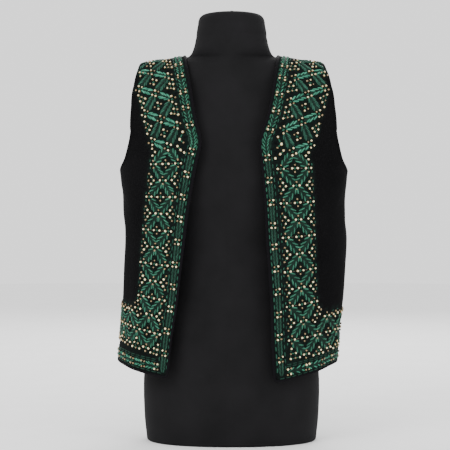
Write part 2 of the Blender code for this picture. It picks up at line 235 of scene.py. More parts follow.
def unit(vector):
    return vector / np.linalg.norm(vector, axis=-1, keepdims=True)


def stacked(*parts):
    return np.stack(np.broadcast_arrays(*parts), axis=-1)


def distances(points):
    """Distance along lines of points, from the first point of each."""
    steps = np.linalg.norm(np.diff(points, axis=-2), axis=-1)
    return np.insert(np.cumsum(steps, axis=-1), 0, 0, axis=-1)


def turned_from(degrees, angle):
    """Signed turn from one angle to others, the short way round."""
    return np.remainder(angle - math.radians(degrees) + math.pi, 2 * math.pi) - math.pi


LEVELS = distances(SECTIONS[:, [3, 0]])
TOP_LEVEL = LEVELS[-1]
ENVELOPE = Section(*(curve_through(LEVELS, column) for column in SECTIONS.T))


def level_at(height):
    levels = np.linspace(0, TOP_LEVEL, 4001)
    return float(np.interp(height, ENVELOPE.height(levels), levels))


UNDERARM_LEVEL = level_at(0.507)
SCOOP_LEVEL = UNDERARM_LEVEL + SCOOP_RISE
SLOPE_LEVEL = level_at(0.60)


def fold_depth(angle, level):
    depth = np.zeros(np.broadcast(angle, level).shape)
    for middle, spread, bottom, top, deep in FOLDS:
        across = np.clip(turned_from(middle, angle) / math.radians(spread), -1, 1)
        along = np.clip((level - bottom) / (top - bottom), 0, 1)
        depth += deep * (1 - across ** 2) ** 2 * np.sin(math.pi * along) ** 1.5
    return depth


def cloth_point(angle, level):
    """Inside face of the cloth, without its small creases."""
    angle, level = np.broadcast_arrays(np.asarray(angle, float), np.asarray(level, float))
    out = np.abs(np.sin(angle)) ** (2 / SECTION_POWER)
    deep = np.abs(np.cos(angle)) ** (2 / SECTION_POWER)
    in_front = np.cos(angle) > 0
    x = np.sign(np.sin(angle)) * ENVELOPE.half_width(level) * out
    y = np.where(in_front, -ENVELOPE.front(level), ENVELOPE.back(level)) * deep
    swell = 1 + fold_depth(angle, level) / np.maximum(0.03, np.hypot(x, y))
    past_neck = np.maximum(0.0, np.abs(x) - NECK_HALF_WIDTH)
    fall = SHOULDER_SLOPE * past_neck * ease(SLOPE_LEVEL, TOP_LEVEL, level)
    sideways = np.where(in_front, np.sin(angle) ** 2, 1.0)
    dip = np.where(angle < 0, HEM_DIP[-1], HEM_DIP[1])
    low = 1 - np.minimum(1.0, level / UNDERARM_LEVEL)
    rise = (HEM_RISE * sideways - dip * (1 - sideways)) * low ** 2
    return stacked(x * swell + ENVELOPE.shift(level), y * swell, ENVELOPE.height(level) - fall + rise)


def cloth_normal(angle, level):
    step = 0.5 * MM
    turn = 4 * step             # in radians, about as far round the cloth as step is up it
    level = np.minimum(level, TOP_LEVEL - step)
    return unit(np.cross(cloth_point(angle + turn, level) - cloth_point(angle - turn, level),
                         cloth_point(angle, level + step) - cloth_point(angle, level - step)))


def angle_of(side, x, level, back=False):
    """Angle where the envelope is x out from the middle, on the named side."""
    out = np.clip((x - side * ENVELOPE.shift(level)) / ENVELOPE.half_width(level), 0, 1)
    angle = np.arcsin(out ** (SECTION_POWER / 2))
    return side * (math.pi - angle if back else angle)


def turn_for(distance, angle, level):
    """How far the angle turns over a short distance around the cloth."""
    step = 0.01
    speed = np.linalg.norm(cloth_point(angle + step, level) - cloth_point(angle, level), axis=-1) / step
    return distance / speed


def edge_angle(side, level, inset=0.0):
    """Front edge and neckline of one front, moved in from the cut edge."""
    edge = ENVELOPE.right_edge if side < 0 else ENVELOPE.left_edge
    angle = angle_of(side, edge(level), level)
    return angle + side * turn_for(inset, angle, level)


def armhole_angle(side, part, level):
    out = ENVELOPE.armhole(level) + side * ENVELOPE.shift(level)
    return abs(angle_of(side, out, level, back=part == "back"))


# ---- outlines of the pieces

SIDE_ROWS, SCOOP_ROWS, ARMHOLE_ROWS = 14, 6, 11
SCOOP_END = SIDE_ROWS + SCOOP_ROWS
ROW_COUNT = SCOOP_END + ARMHOLE_ROWS
ROWS = np.linspace(0, ROW_COUNT, 3 * ROW_COUNT + 1)
FRONT_COLUMNS = 57
BACK_COLUMNS = 43               # of each half
NECK_COLUMNS = SHOULDER_COLUMNS = 7
UNDER_BINDING = 1.2 * MM        # cloth starts this far in from the bound edge
# rows that end at the foot, underarm, scoop and shoulder, and the levels where they start
ROW_MARKS = [0, SIDE_ROWS, SCOOP_END, ROW_COUNT]
ROW_STARTS = [UNDER_BINDING, level_at(0.492), level_at(0.585), TOP_LEVEL]


def outer_edge(side, part, row):
    """Side seam and armhole of a front or the back: angle and level."""
    seam = math.radians(SEAM_ANGLE[side])
    seam += (-1 if part == "front" else 1) * turn_for(SEAM_GAP / 2, math.pi / 2, UNDERARM_LEVEL / 2)
    if row <= SIDE_ROWS:
        return seam, mix(UNDER_BINDING, UNDERARM_LEVEL, row / SIDE_ROWS)
    if row <= SCOOP_END:
        turn = (row - SIDE_ROWS) / SCOOP_ROWS * math.pi / 2
        return (mix(seam, armhole_angle(side, part, SCOOP_LEVEL), math.sin(turn)),
                mix(UNDERARM_LEVEL, SCOOP_LEVEL, 1 - math.cos(turn)))
    level = mix(SCOOP_LEVEL, TOP_LEVEL, (row - SCOOP_END) / ARMHOLE_ROWS)
    return armhole_angle(side, part, level), level


def inner_level(row):
    """Level of a row where it starts, at the front edge or the centre back."""
    return float(np.interp(row, ROW_MARKS, ROW_STARTS))


def front_places(side):
    """Grid of angles and levels over one front, from its edge out to the seam."""
    shares = np.linspace(0, 1, FRONT_COLUMNS)
    grid = []
    for row in ROWS:
        outer_angle, outer_level = outer_edge(side, "front", row)
        level = inner_level(row)
        inner = abs(edge_angle(side, level, UNDER_BINDING + max(0.0, CORNER_RADIUS - level) * 0.4))
        grid.append((side * mix(inner, outer_angle, shares), mix(level, outer_level, shares)))
    return np.array(grid).transpose(1, 0, 2)


def back_neckline(side, turn, inset):
    """Angles and levels on the back neckline; turn 0 is the centre back."""
    x = (NECK_HALF_WIDTH + inset) * math.sin(turn)
    level = TOP_LEVEL - (BACK_NECK_DROP + inset) * math.cos(turn)
    return np.where(x == 0, math.pi * side, angle_of(side, x, level, back=True)), level


def back_top(side, column):
    """Neckline, then shoulder seam: angle and level along the back's top."""
    turn = min(column / NECK_COLUMNS, 1) * math.pi / 2
    angle, level = back_neckline(side, turn, UNDER_BINDING)
    if column <= NECK_COLUMNS:
        return abs(angle), level
    along = (column - NECK_COLUMNS) / SHOULDER_COLUMNS
    return mix(abs(angle), armhole_angle(side, "back", TOP_LEVEL), along), TOP_LEVEL


def back_places():
    """Grid of angles and levels over the back, from right seam to left seam."""
    columns = np.linspace(0, NECK_COLUMNS + SHOULDER_COLUMNS, BACK_COLUMNS)
    across = columns / columns[-1]
    halves = []
    for side in (-1, 1):
        top_angles, top_levels = np.array([back_top(side, column) for column in columns]).T
        bottom_angles = mix(math.pi, outer_edge(side, "back", 0)[0], across)
        tip_angle, tip_level = outer_edge(side, "back", ROW_COUNT)
        half = []
        for row in ROWS:
            up = (inner_level(row) - UNDER_BINDING) / (TOP_LEVEL - UNDER_BINDING)
            outer_angle, outer_level = outer_edge(side, "back", row)
            angle = (mix(math.pi, outer_angle, across) + mix(bottom_angles, top_angles, up)
                     - mix(bottom_angles, mix(math.pi, tip_angle, across), up))
            level = (mix(mix(UNDER_BINDING, top_levels[0], up), outer_level, across)
                     + mix(UNDER_BINDING, top_levels, up)
                     - mix(UNDER_BINDING, mix(top_levels[0], tip_level, across), up))
            half.append((side * angle, np.minimum(level, TOP_LEVEL)))
        halves.append(np.array(half))
    return np.concatenate([halves[0][..., ::-1], halves[1][..., 1:]], axis=-1).transpose(1, 0, 2)


# ---- creases and the cloth's face

# short soft creases: start and end angle, start and end level, width and depth
# outward, in degrees and millimetres
CREASES = [
    (-93, -66, 352, 305, 16, -1.6), (-99, -70, 330, 268, 18, 1.8), (-84, -60, 372, 352, 12, 1.2),
    (87, 61, 350, 300, 17, -1.8), (92, 66, 322, 262, 17, 1.6), (82, 57, 374, 356, 12, 1.1),
    (-101, -127, 350, 290, 18, 2), (-104, -140, 372, 330, 15, -1.5), (97, 124, 352, 296, 18, 1.9),
    (100, 137, 374, 340, 14, -1.5), (-172, -152, 300, 268, 15, 1.5), (176, 151, 322, 352, 16, 1.6),
    (168, -174, 262, 246, 13, -1.3), (-45, -58, 60, 125, 13, 1.2), (33, 44, 50, 130, 13, 1.1),
    (-131, -126, 40, 150, 14, 1.6), (149, 153, 30, 140, 14, -1.4), (114, 128, 450, 395, 14, 1.3),
    (-117, -131, 455, 400, 14, 1.4)]
CLOTH_RADIUS = 0.165            # turns a crease's angles into distances


def crease_depth(angle, level):
    depth = np.zeros(np.broadcast(angle, level).shape)
    for start, end, *sizes in CREASES:
        low, high, width, deep = (size / 1000 for size in sizes)
        run_x, run_y = turned_from(start, math.radians(end)) * CLOTH_RADIUS, high - low
        length = math.hypot(run_x, run_y)
        x, y = turned_from(start, angle) * CLOTH_RADIUS, level - low
        along = np.clip((x * run_x + y * run_y) / length ** 2, 0, 1)
        off = np.abs(x * run_y - y * run_x) / length / width
        depth += deep * np.sin(math.pi * along) * np.clip(1 - off ** 2, 0, 1) ** 2
    return depth


def on_cloth(angle, level, out=0.0):
    """Points and normals on the hanging cloth, out from its inside face."""
    normal = cloth_normal(angle, level)
    lift = crease_depth(angle, level) + out
    return cloth_point(angle, level) + normal * lift[..., None], normal


class FlatFront:
    """One front laid out flat, for its embroidery.

    Across is the distance around the cloth from the centre front, and level is the
    distance up it.
    """

    def __init__(self, side):
        self.side = side
        self.levels = np.linspace(0, TOP_LEVEL, 201)
        self.angles = np.radians(np.linspace(0, 118, 473))
        points = cloth_point(side * self.angles[None, :], self.levels[:, None])
        self.arcs = distances(points)
        self.acrosses = np.linspace(0, 0.36, 361)
        self.table = np.array([np.interp(self.acrosses, arc, self.angles) for arc in self.arcs])

    def angle(self, across, level):
        """Signed angle of flat places."""
        row = np.clip(level / TOP_LEVEL, 0, 1) * (len(self.levels) - 1)
        column = np.clip(across / self.acrosses[-1], 0, 1) * (len(self.acrosses) - 1)
        r = np.minimum(row.astype(int), len(self.levels) - 2)
        c = np.minimum(column.astype(int), len(self.acrosses) - 2)
        low = mix(self.table[r, c], self.table[r, c + 1], column - c)
        high = mix(self.table[r + 1, c], self.table[r + 1, c + 1], column - c)
        return self.side * mix(low, high, row - r)

    def hung(self, places, out):
        """Points and normals of flat places on the hanging cloth."""
        across, level = places[..., 0], places[..., 1]
        return on_cloth(self.angle(across, level), level, out)

    def across(self, angle, level):
        row = int(round(level / TOP_LEVEL * (len(self.levels) - 1)))
        return float(np.interp(abs(angle), self.angles, self.arcs[row]))

    def edge(self, level):
        return self.across(edge_angle(self.side, level), level)

    def seam(self, level):
        return self.across(math.radians(SEAM_ANGLE[self.side]), level)


# ---- mesh helpers

def new_object(name, data, place=(0, 0, 0)):
    made = bpy.data.objects.new(name, data)
    made.location = place
    bpy.context.scene.collection.objects.link(made)
    return made


def new_mesh_object(name, points, faces, finish, uvs=None, tints=None):
    """Smooth object from arrays; uvs and tints are given for each point."""
    data = bpy.data.meshes.new(name)
    data.from_pydata(points.reshape(-1, 3).tolist(), [], faces)
    if tints is not None:
        layer = data.attributes.new("tint", "FLOAT_COLOR", "POINT")
        layer.data.foreach_set("color", tints.astype(np.float32).ravel())
    if uvs is not None:
        layer = data.uv_layers.new(name="UVMap")
        corner_points = np.empty(len(data.loops), np.int32)
        data.loops.foreach_get("vertex_index", corner_points)
        layer.data.foreach_set("uv", uvs.reshape(-1, 2).astype(np.float32)[corner_points].ravel())
    data.materials.append(finish)
    data.shade_smooth()
    return new_object(name, data)


def around(sides):
    return np.arange(sides) * 2 * math.pi / sides


def tube_faces(count, rings, sides, flip=False):
    """Faces of closed tubes whose rings of points follow each other."""
    low, side = np.arange(rings - 1)[:, None] * sides, np.arange(sides)
    following = np.roll(side, -1)
    high = low + sides
    quads = stacked(low + side, low + following, high + following, high + side).reshape(-1, 4)
    caps = np.stack([side[::-1], side + (rings - 1) * sides])
    firsts = np.arange(count)[:, None, None] * rings * sides
    way = -1 if flip else 1
    return [face for part in (quads, caps)
            for face in (firsts + part).reshape(-1, part.shape[1])[:, ::way].tolist()]


def nearest(points, line):
    """Distance from each point to the nearest point of a line."""
    found = np.full(points.shape[:-1], np.inf)
    for place in line:
        np.minimum(found, np.linalg.norm(points - place, axis=-1), out=found)
    return found


# ---- wool panels

TURNED_WIDTH = 7.5 * MM         # armhole edges, turned in and stitched down
TURNED_EXTRA = 0.55 * MM
TURNED_STEP = 1.5 * MM
GROOVE_DEPTH, GROOVE_WIDTH = 0.5 * MM, 1.2 * MM
EDGE_ROUNDING = 1.6 * MM
SEAM_SINK, SEAM_REACH = 0.7 * MM, 3 * MM


def wall_thickness(points, turned, seams):
    """Wool thickness: fuller and rounded along turned edges, pulled in at seams."""
    from_turned, from_seam = nearest(points, turned), nearest(points, seams)
    thick = WOOL + TURNED_EXTRA * (1 - ease(TURNED_WIDTH - TURNED_STEP, TURNED_WIDTH, from_turned))
    thick -= GROOVE_DEPTH * np.clip(1 - ((from_turned - TURNED_WIDTH) / GROOVE_WIDTH) ** 2, 0, 1)
    thick -= SEAM_SINK * (1 - ease(0, SEAM_REACH, from_seam))
    rounding = np.clip(from_turned / EDGE_ROUNDING, 0, 1)
    return thick * (0.35 + 0.65 * np.sqrt(1 - (1 - rounding) ** 2))


def make_panel(name, places, turned, seams, finish, flip):
    """Closed wool shell over a grid of places on the cloth."""
    angles, levels = places
    inside = on_cloth(angles, levels)[0]
    outside = on_cloth(angles, levels, wall_thickness(inside, turned, seams))[0]
    index = np.arange(angles.size).reshape(angles.shape)
    grid = stacked(index[:-1, :-1], index[:-1, 1:], index[1:, 1:], index[1:, :-1]).reshape(-1, 4)
    rim = np.concatenate([index[0], index[1:, -1], index[-1, -2::-1], index[-2:0:-1, 0]])
    walls = stacked(rim, rim + angles.size, np.roll(rim, -1) + angles.size, np.roll(rim, -1))
    quads = np.concatenate([grid, grid[:, ::-1] + angles.size, walls])
    uvs = stacked(distances(inside).mean(axis=0), levels)
    return new_mesh_object(name, np.stack([outside, inside]), quads[:, ::-1 if flip else 1].tolist(),
                           finish, np.stack([uvs, uvs]))


def edge_line(side, part, low_row, high_row):
    """Points along the outer edge of a piece, between two rows."""
    rows = np.linspace(low_row, high_row, 160)
    angles, levels = np.array([outer_edge(side, part, row) for row in rows]).T
    return on_cloth(side * angles, levels)[0]


def make_front(name, side, finish):
    places = front_places(side)
    seams = [on_cloth(*places[:, -1])[0], edge_line(side, "front", 0, SIDE_ROWS)]
    armhole = edge_line(side, "front", SIDE_ROWS, ROW_COUNT)
    return make_panel(name, places, armhole, np.concatenate(seams), finish, flip=side < 0)


def make_back(name, finish):
    places = back_places()
    top = on_cloth(*places[:, -1])[0]
    seams, armholes = ([edge_line(side, "back", *rows) for side in (-1, 1)]
                       for rows in ((0, SIDE_ROWS), (SIDE_ROWS, ROW_COUNT)))
    seams.append(top[np.abs(top[:, 0]) > NECK_HALF_WIDTH])
    return make_panel(name, places, np.concatenate(armholes), np.concatenate(seams), finish, flip=True)


# ---- bindings

# half a section through the folded binding: insets from the edge and distances out
# from the inside face of the cloth, from the inside round the edge to the outside
INSETS, OUTS = MM * np.array([
    (4.2, -0.05), (3, -0.35), (1.2, -0.38), (0.2, -0.1), (-0.25, 0.7), (-0.3, 1.5), (-0.05, 2.3),
    (0.7, 2.85), (1.8, 3.05), (3, 3), (4, 2.75), (4.45, 2.35), (4.5, 1.9), (4.3, 1)]).T
OUTER_HALF = OUTS > 1.5 * MM
SLACK = ((0.10 * MM, 0.021, 0), (0.08 * MM, 0.0083, 1))     # its outer half's waves: height, pitch, start
BRAID_WIDTH = 0.016             # of the strip laid flat, for its weave
EDGE_STEPS, CORNER_STEPS, HEM_STEPS, NECK_STEPS = 190, 9, 70, 73
BACK_HEM_STEPS = 61             # of each half


def make_binding(name, places, finish):
    """Folded strip over an edge; places are the angles and levels of its sections."""
    places = np.array([np.broadcast_arrays(*place, INSETS)[:2] for place in places])
    angles, levels = places.transpose(1, 0, 2)
    spine = on_cloth(angles[:, 0], levels[:, 0])[0]
    length = distances(spine)[:, None]
    slack = sum(high * np.sin(length * 2 * math.pi / pitch + start) for high, pitch, start in SLACK)
    points = on_cloth(angles, levels, OUTS + slack * OUTER_HALF)[0]
    uvs = stacked(length, np.linspace(0, BRAID_WIDTH, len(INSETS)))
    made = new_mesh_object(name, points, tube_faces(1, len(places), len(INSETS)), finish, uvs)
    mesh = bmesh.new()
    mesh.from_mesh(made.data)
    bmesh.ops.recalc_face_normals(mesh, faces=mesh.faces)
    mesh.to_mesh(made.data)
    mesh.free()
    return made


def front_binding_places(side):
    """Down the neckline and front edge, round the corner, out along the hem."""
    places = [(edge_angle(side, level, INSETS), level)
              for level in np.linspace(TOP_LEVEL, CORNER_RADIUS, EDGE_STEPS)]
    radii = CORNER_RADIUS - INSETS
    for turn in np.linspace(0, math.pi / 2, CORNER_STEPS)[1:-1]:
        levels = CORNER_RADIUS - radii * math.sin(turn)
        places.append((edge_angle(side, levels, CORNER_RADIUS - radii * math.cos(turn)), levels))
    start, end = abs(edge_angle(side, 0.0, CORNER_RADIUS)), outer_edge(side, "front", 0)[0]
    return places + [(side * angle, INSETS) for angle in np.linspace(start, end, HEM_STEPS)]


def back_neck_places():
    """Round the back neck, from the right shoulder seam to the left one."""
    return [back_neckline(-1 if turn < 0 else 1, abs(turn), INSETS)
            for turn in np.linspace(-math.pi / 2, math.pi / 2, NECK_STEPS)]


def back_hem_places():
    """Along the back hem, from the right side seam to the left one."""
    right, left = (outer_edge(side, "back", 0)[0] for side in (-1, 1))
    return [(angle, INSETS) for angle in (*np.linspace(-right, -math.pi, BACK_HEM_STEPS),
                                          *np.linspace(math.pi, left, BACK_HEM_STEPS)[1:])]


# ---- dress form

Ring = namedtuple("Ring", "height half_width front back power front_rise back_rise")
# sizes in tenths of a millimetre; the rises are how much higher it is in front and behind
FORM_RINGS = np.array([(*row, 0, 0)[:7] for row in (
    (0, 1600, 1080, 980, 2.2), (500, 1650, 1120, 1010, 2.2), (1200, 1660, 1130, 1000, 2.2),
    (2000, 1580, 1060, 930, 2.2), (2800, 1420, 950, 830, 2.2), (3500, 1330, 890, 770, 2.2),
    (4200, 1400, 960, 820, 2.2), (4800, 1500, 1080, 900, 2.2), (5300, 1560, 1060, 950, 2.2),
    (5800, 1590, 960, 950, 2.2, -50, 0), (6250, 1620, 840, 870, 2.1, -100, 0),
    (6600, 1650, 755, 760, 2, -150, -20), (6860, 1670, 705, 660, 1.8, -200, -40),
    (7025, 1650, 675, 565, 1.6, -225, -55), (7120, 1500, 655, 520, 1.45, -210, -50),
    (7163, 1290, 640, 495, 1.3, -153, -33), (7204, 1050, 630, 480, 1.2, -104, -4),
    (7228, 865, 625, 470, 1.3, -48, 37), (7275, 780, 622, 465, 1.65, -15, 55),
    (7380, 725, 620, 460, 2, -20, 40), (7540, 685, 620, 455, 2, -10, 20), (7740, 655, 615, 450, 2),
    (7920, 628, 600, 440, 2), (8000, 585, 565, 410, 2), (8040, 500, 480, 340, 2),
    (8060, 300, 310, 180, 2), (8060, 90, 90, 80, 2), (8075, 50, 50, 45, 2), (8105, 42, 42, 40, 2),
    (8120, 22, 22, 22, 2))]) / [10000, 10000, 10000, 10000, 1, 10000, 10000]
FORM_SIDES = 120
FORM_STEPS = 5                  # rows from one ring to the next
FORM_RADIUS = 0.13              # turns angles into distances, for the knit
FOOT_ROWS = [0, 0.012, 0.03, 0.06, 0.12, 0.3]   # closer rows at the foot, where it rounds under

# stretch wrinkles of the jersey round the neck: height, half width, depth, and
# the angle where each is deepest
NECK_WRINKLES = [(0.7832, 0.0030, -0.0007, -20), (0.7605, 0.0032, -0.0008, 25),
                 (0.7715, 0.0050, 0.0004, 60), (0.7470, 0.0034, -0.0005, 150)]
WRINKLE_WANDER = 0.0016         # how far each rises and falls round the neck
GATHERS = 15                    # pleats that run in to the knot
GATHER_REACH, GATHER_SPREAD, GATHER_HEIGHT, GATHER_DEPTH = 0.014, 0.013, 0.795, 0.0009
FOOT_ROUNDING, FOOT_HEIGHT = 0.0016, 0.0022


def form_point(ring, angle):
    out, deep = np.sin(angle), np.cos(angle)
    x = np.sign(out) * np.abs(out) ** (2 / ring.power) * ring.half_width
    y = -np.sign(deep) * np.abs(deep) ** (2 / ring.power) * np.where(deep > 0, ring.front, ring.back)
    return stacked(x, y, ring.height + np.where(deep > 0, ring.front_rise, ring.back_rise) * deep ** 2)


def make_form(finish):
    """Jersey-covered torso, lofted through its rings, with the jersey's wrinkles."""
    last = len(FORM_RINGS) - 1
    at = np.concatenate([FOOT_ROWS, np.linspace(0.5, last, FORM_STEPS * last - 2)])
    ring = Ring(*(curve_through(range(last + 1), column)(at)[:, None] for column in FORM_RINGS.T))
    angles = around(FORM_SIDES)
    points = form_point(ring, angles)
    reach = np.hypot(points[..., 0], points[..., 1])
    height = points[..., 2]
    inward = -FOOT_ROUNDING * (1 - ease(0, FOOT_HEIGHT, height))
    for level, width, deep, angle in NECK_WRINKLES:
        off = (height - level - WRINKLE_WANDER * np.sin(2 * angles + angle)) / width
        inward += deep * (0.65 + 0.35 * np.cos(angles - math.radians(angle))) * np.exp(-off ** 2)
    points[..., :2] *= (1 + inward / np.maximum(reach, 0.004))[..., None]
    gather = np.exp(-((reach - GATHER_REACH) / GATHER_SPREAD) ** 2) * (height > GATHER_HEIGHT)
    pleats = 0.5 + 0.5 * np.sin(GATHERS * angles + 1.5 * np.sin(3 * angles))
    points[..., 2] -= GATHER_DEPTH * gather * pleats
    return new_mesh_object("form_jersey", points, tube_faces(1, len(at), FORM_SIDES), finish,
                           stacked(angles * FORM_RADIUS, height))


# ---- embroidery: its chart

# One green thread: BRIGHT_GREEN and DARK_GREEN are its lit and shaded copies, painted highlight and painted shade, and
# the near-black UNDER_GREEN of the padding is painted shade in the gaps between stitches.
LEAF_GREEN, BRIGHT_GREEN, DARK_GREEN, UNDER_GREEN = np.array([
    (0.0245, 0.097, 0.062), (0.034, 0.146, 0.096), (0.02, 0.072, 0.048), (0.0078, 0.021, 0.015)])
# Bead colours: CREAM and GOLD are the top and sides of a bright bead, TAN and BROWN of a dim one. The lighter tops are
# painted highlight, the browner sides painted shade, and bright and dim beads are lit and shaded copies of one bead.
THREAD_CREAM, CREAM, GOLD, TAN, BROWN = np.array([
    (0.16, 0.13, 0.09), (0.86, 0.79, 0.52), (0.34, 0.22, 0.075), (0.235, 0.165, 0.07), (0.06, 0.034, 0.013)])


def sided(right, left):
    return {-1: curve_through(*right), 1: curve_through(*left)}


# chevrons and bead clusters up the front edge: distance in from it and, by level
# along it, the clusters
BORDER_DISTANCE = sided(
    ((0.04, 0.12, 0.2, 0.27, 0.37, 0.5, 0.55, 0.65),
     (0.0113, 0.0117, 0.0127, 0.0143, 0.015, 0.015, 0.0164, 0.0165)),
    ((0.04, 0.12, 0.24, 0.32, 0.4, 0.46, 0.52, 0.59, 0.65),
     (0.0156, 0.0144, 0.0142, 0.0129, 0.0116, 0.0132, 0.0139, 0.0162, 0.0166)))
CLUSTER_LEVELS = {-1: [0.044 + 0.0404 * i for i in range(10)] + [0.4641, 0.4961, 0.5281, 0.5641, 0.5961],
                  1: [0.038 + 0.0401 * i for i in range(10)] + [0.4561, 0.4901, 0.5221, 0.5581, 0.5901]}
NECKLINE_LEVEL = 0.44           # clusters above it are wide and slant with the neckline

# rows of the wide band: level at its middle; every other row has three diamonds.
# Its middle line (from the front edge), columns and tilt change with the level
BAND_ROWS = 12
TOP_ROW = BAND_ROWS - 1
ROW_LEVEL = sided(((0, 8, 11), (0.0488, 0.299, 0.3896)), ((0, 2, 11), (0.0404, 0.1036, 0.3809)))
BAND_MIDDLE = sided(
    ((0.05, 0.11, 0.17, 0.24, 0.39), (0.0483, 0.0503, 0.051, 0.055, 0.058)),
    ((0.04, 0.1, 0.135, 0.2, 0.26, 0.38), (0.0665, 0.0618, 0.0592, 0.0592, 0.0607, 0.0604)))
COLUMN_PITCH = sided(
    ((0.05, 0.14, 0.27, 0.39), (0.0205, 0.0213, 0.0226, 0.0235)),
    ((0.04, 0.075, 0.135, 0.2, 0.26, 0.38), (0.0262, 0.0262, 0.0242, 0.0238, 0.0248, 0.0259)))
ROW_TILT = sided(
    ((0.05, 0.14, 0.2, 0.27, 0.33, 0.39), (5.6, 5.8, 4.2, 2.9, 1.1, -1)),
    ((0.04, 0.075, 0.135, 0.2, 0.26, 0.32, 0.38), (-0.5, 0.5, 4.2, 4.2, 3.9, 3.5, 2.6)))
TILT_REACH = 0.06               # the hem band levels off this far beyond the middle
SIDE_COLUMNS = 7                # columns of the hem band, counted from the wide band's middle

# bead triangles in the bottom row, in millimetres: apex above the row, then steps
# down and along; at the corner, out and up to its first bead and the step along
HEM_TRIANGLE = {-1: (12.5, 9.2, 8.0), 1: (7.0, 6.3, 11.1)}
CORNER_TRIANGLE = {-1: (-3.0, -6.2, 6.7), 1: (-6.2, -2.6, 9.5)}
CORNER_DROP = 9.1
# where the wide band turns into the hem band: its diamond, and the beads about it
TURN_SHIFT = {-1: (4.2, 6.6), 1: (2.1, 6.4)}
TURN_BEADS = [(2.5, 13.6, True), (7.4, 8.2, False), (-8.9, -8.8, False), (-3.0, -13.4, True)]

# From here to the chest's beads, the right front comes first.  Lattice from the chest
# to the shoulder: one node, the steps to the next node along a row and to the next
# row down, and how the rows draw in and fan out
LATTICES = MM * np.array([((143.0, 525.3), (-31.3, -14.1), (-8.8, -53.9), (-1.1, 0.7), (0.6, 1.8)),
                          ((139.0, 523.2), (-33.9, -17.5), (-11.8, -55.3), (-2.2, -0.4), (-0.6, 1.3))])
# bead triangles beside the lattice: first bead from a node, steps to the next row and bead
NECK_TRIANGLES = MM * np.array([((-7.6, -10.2), (-1.9, -10.5), (6.5, 1.3)),
                                ((-9.4, -11.6), (-2.5, -10.6), (8.0, 1.9))])
# the same by the armhole, and at last the first bead of the lower one
ARM_TRIANGLES = MM * np.array([((1.8, -16.3), (-3.1, -12.0), (-6.8, -4.2), (1.5, -16.3)),
                               ((2.8, -15.5), (-2.9, -12.0), (-7.0, -4.6), (-0.9, -19.3))])
# loose beads inside the neckline above the chest, from the lattice's innermost node
CHEST_BEADS = MM * np.array([
    ((-9.8, -12.8), (-3.8, -26.5), (-10.6, -32.5), (0.5, -38.5), (-5.5, -45.3), (-11.5, -50.5)),
    ((-11.1, -13.7), (-5.1, -26.5), (-12.8, -33.4), (-0.9, -38.5), (-7.4, -45.3), (-16.3, -52.2))])

# the chain along the hem: level, pitch and its first clusters, from the edge
HEM_CHAIN = {-1: (0.0178, 0.0256, [0.0241, 0.0513, 0.0758]),
             1: (0.0158, 0.031, [0.0299, 0.068, 0.1028, 0.1316])}
HEM_LINES = (-0.0098, 0.0096, 0.0132)       # running lines, from the chain's middle
CHEVRON_PITCH = 0.0070
PALE_CHEST = 0.38, 0.10         # beads turn browner from this level, over this height

# the strands of a stitch: how far each bows out and how thick it is, of the stitch's
# width, its rise in metres and its painted light, a factor on its colour: in SATIN a
# painted highlight on the middle strand and painted shade on the outer ones
SATIN = [(-0.36, 0.155, 0.0, 0.50), (0.0, 0.285, 0.1 * MM, 1.65), (0.36, 0.155, 0.0, 0.50)]
PAIR = [(-0.25, 0.30, 0.0, 1.0), (0.25, 0.30, 0.0, 1.0)]
SINGLE = [(0.0, 0.60, 0.0, 1.0)]
PADDING = 6                     # strands under a leaf

# kinds of leaf, in millimetres and degrees: how far its stitches reach and open,
# their width and the gap between the two rows, and its padding's thickness
Leaf = namedtuple("Leaf", "reach opening width gap thick colour")
# The bright green of ROW_LEAF and HEM_LEAF is painted highlight and the dark green of STEEP_LEAF painted shade, for
# how the light falls along their stitches.
LEAF = Leaf(13.6, 27, 4.8, 1.9, 15.5, LEAF_GREEN)
ROW_LEAF = Leaf(13.6, 23, 4.9, 1.5, 13.0, BRIGHT_GREEN)
STEEP_LEAF = Leaf(15.5, 22, 5.2, 1.9, 16.0, mix(DARK_GREEN, UNDER_GREEN, 0.42))
HEM_LEAF = Leaf(10.5, 29, 3.6, 1.9, 10.0, mix(BRIGHT_GREEN, LEAF_GREEN, 0.4))


def turned_left(vector):
    return np.array([-vector[1], vector[0]])


def framed(centre, right):
    """Flat places from millimetres along and to the left of a direction, about a centre."""
    return lambda along, up: centre + (right * along + turned_left(right) * up) * MM


# ---- embroidery: its stitches

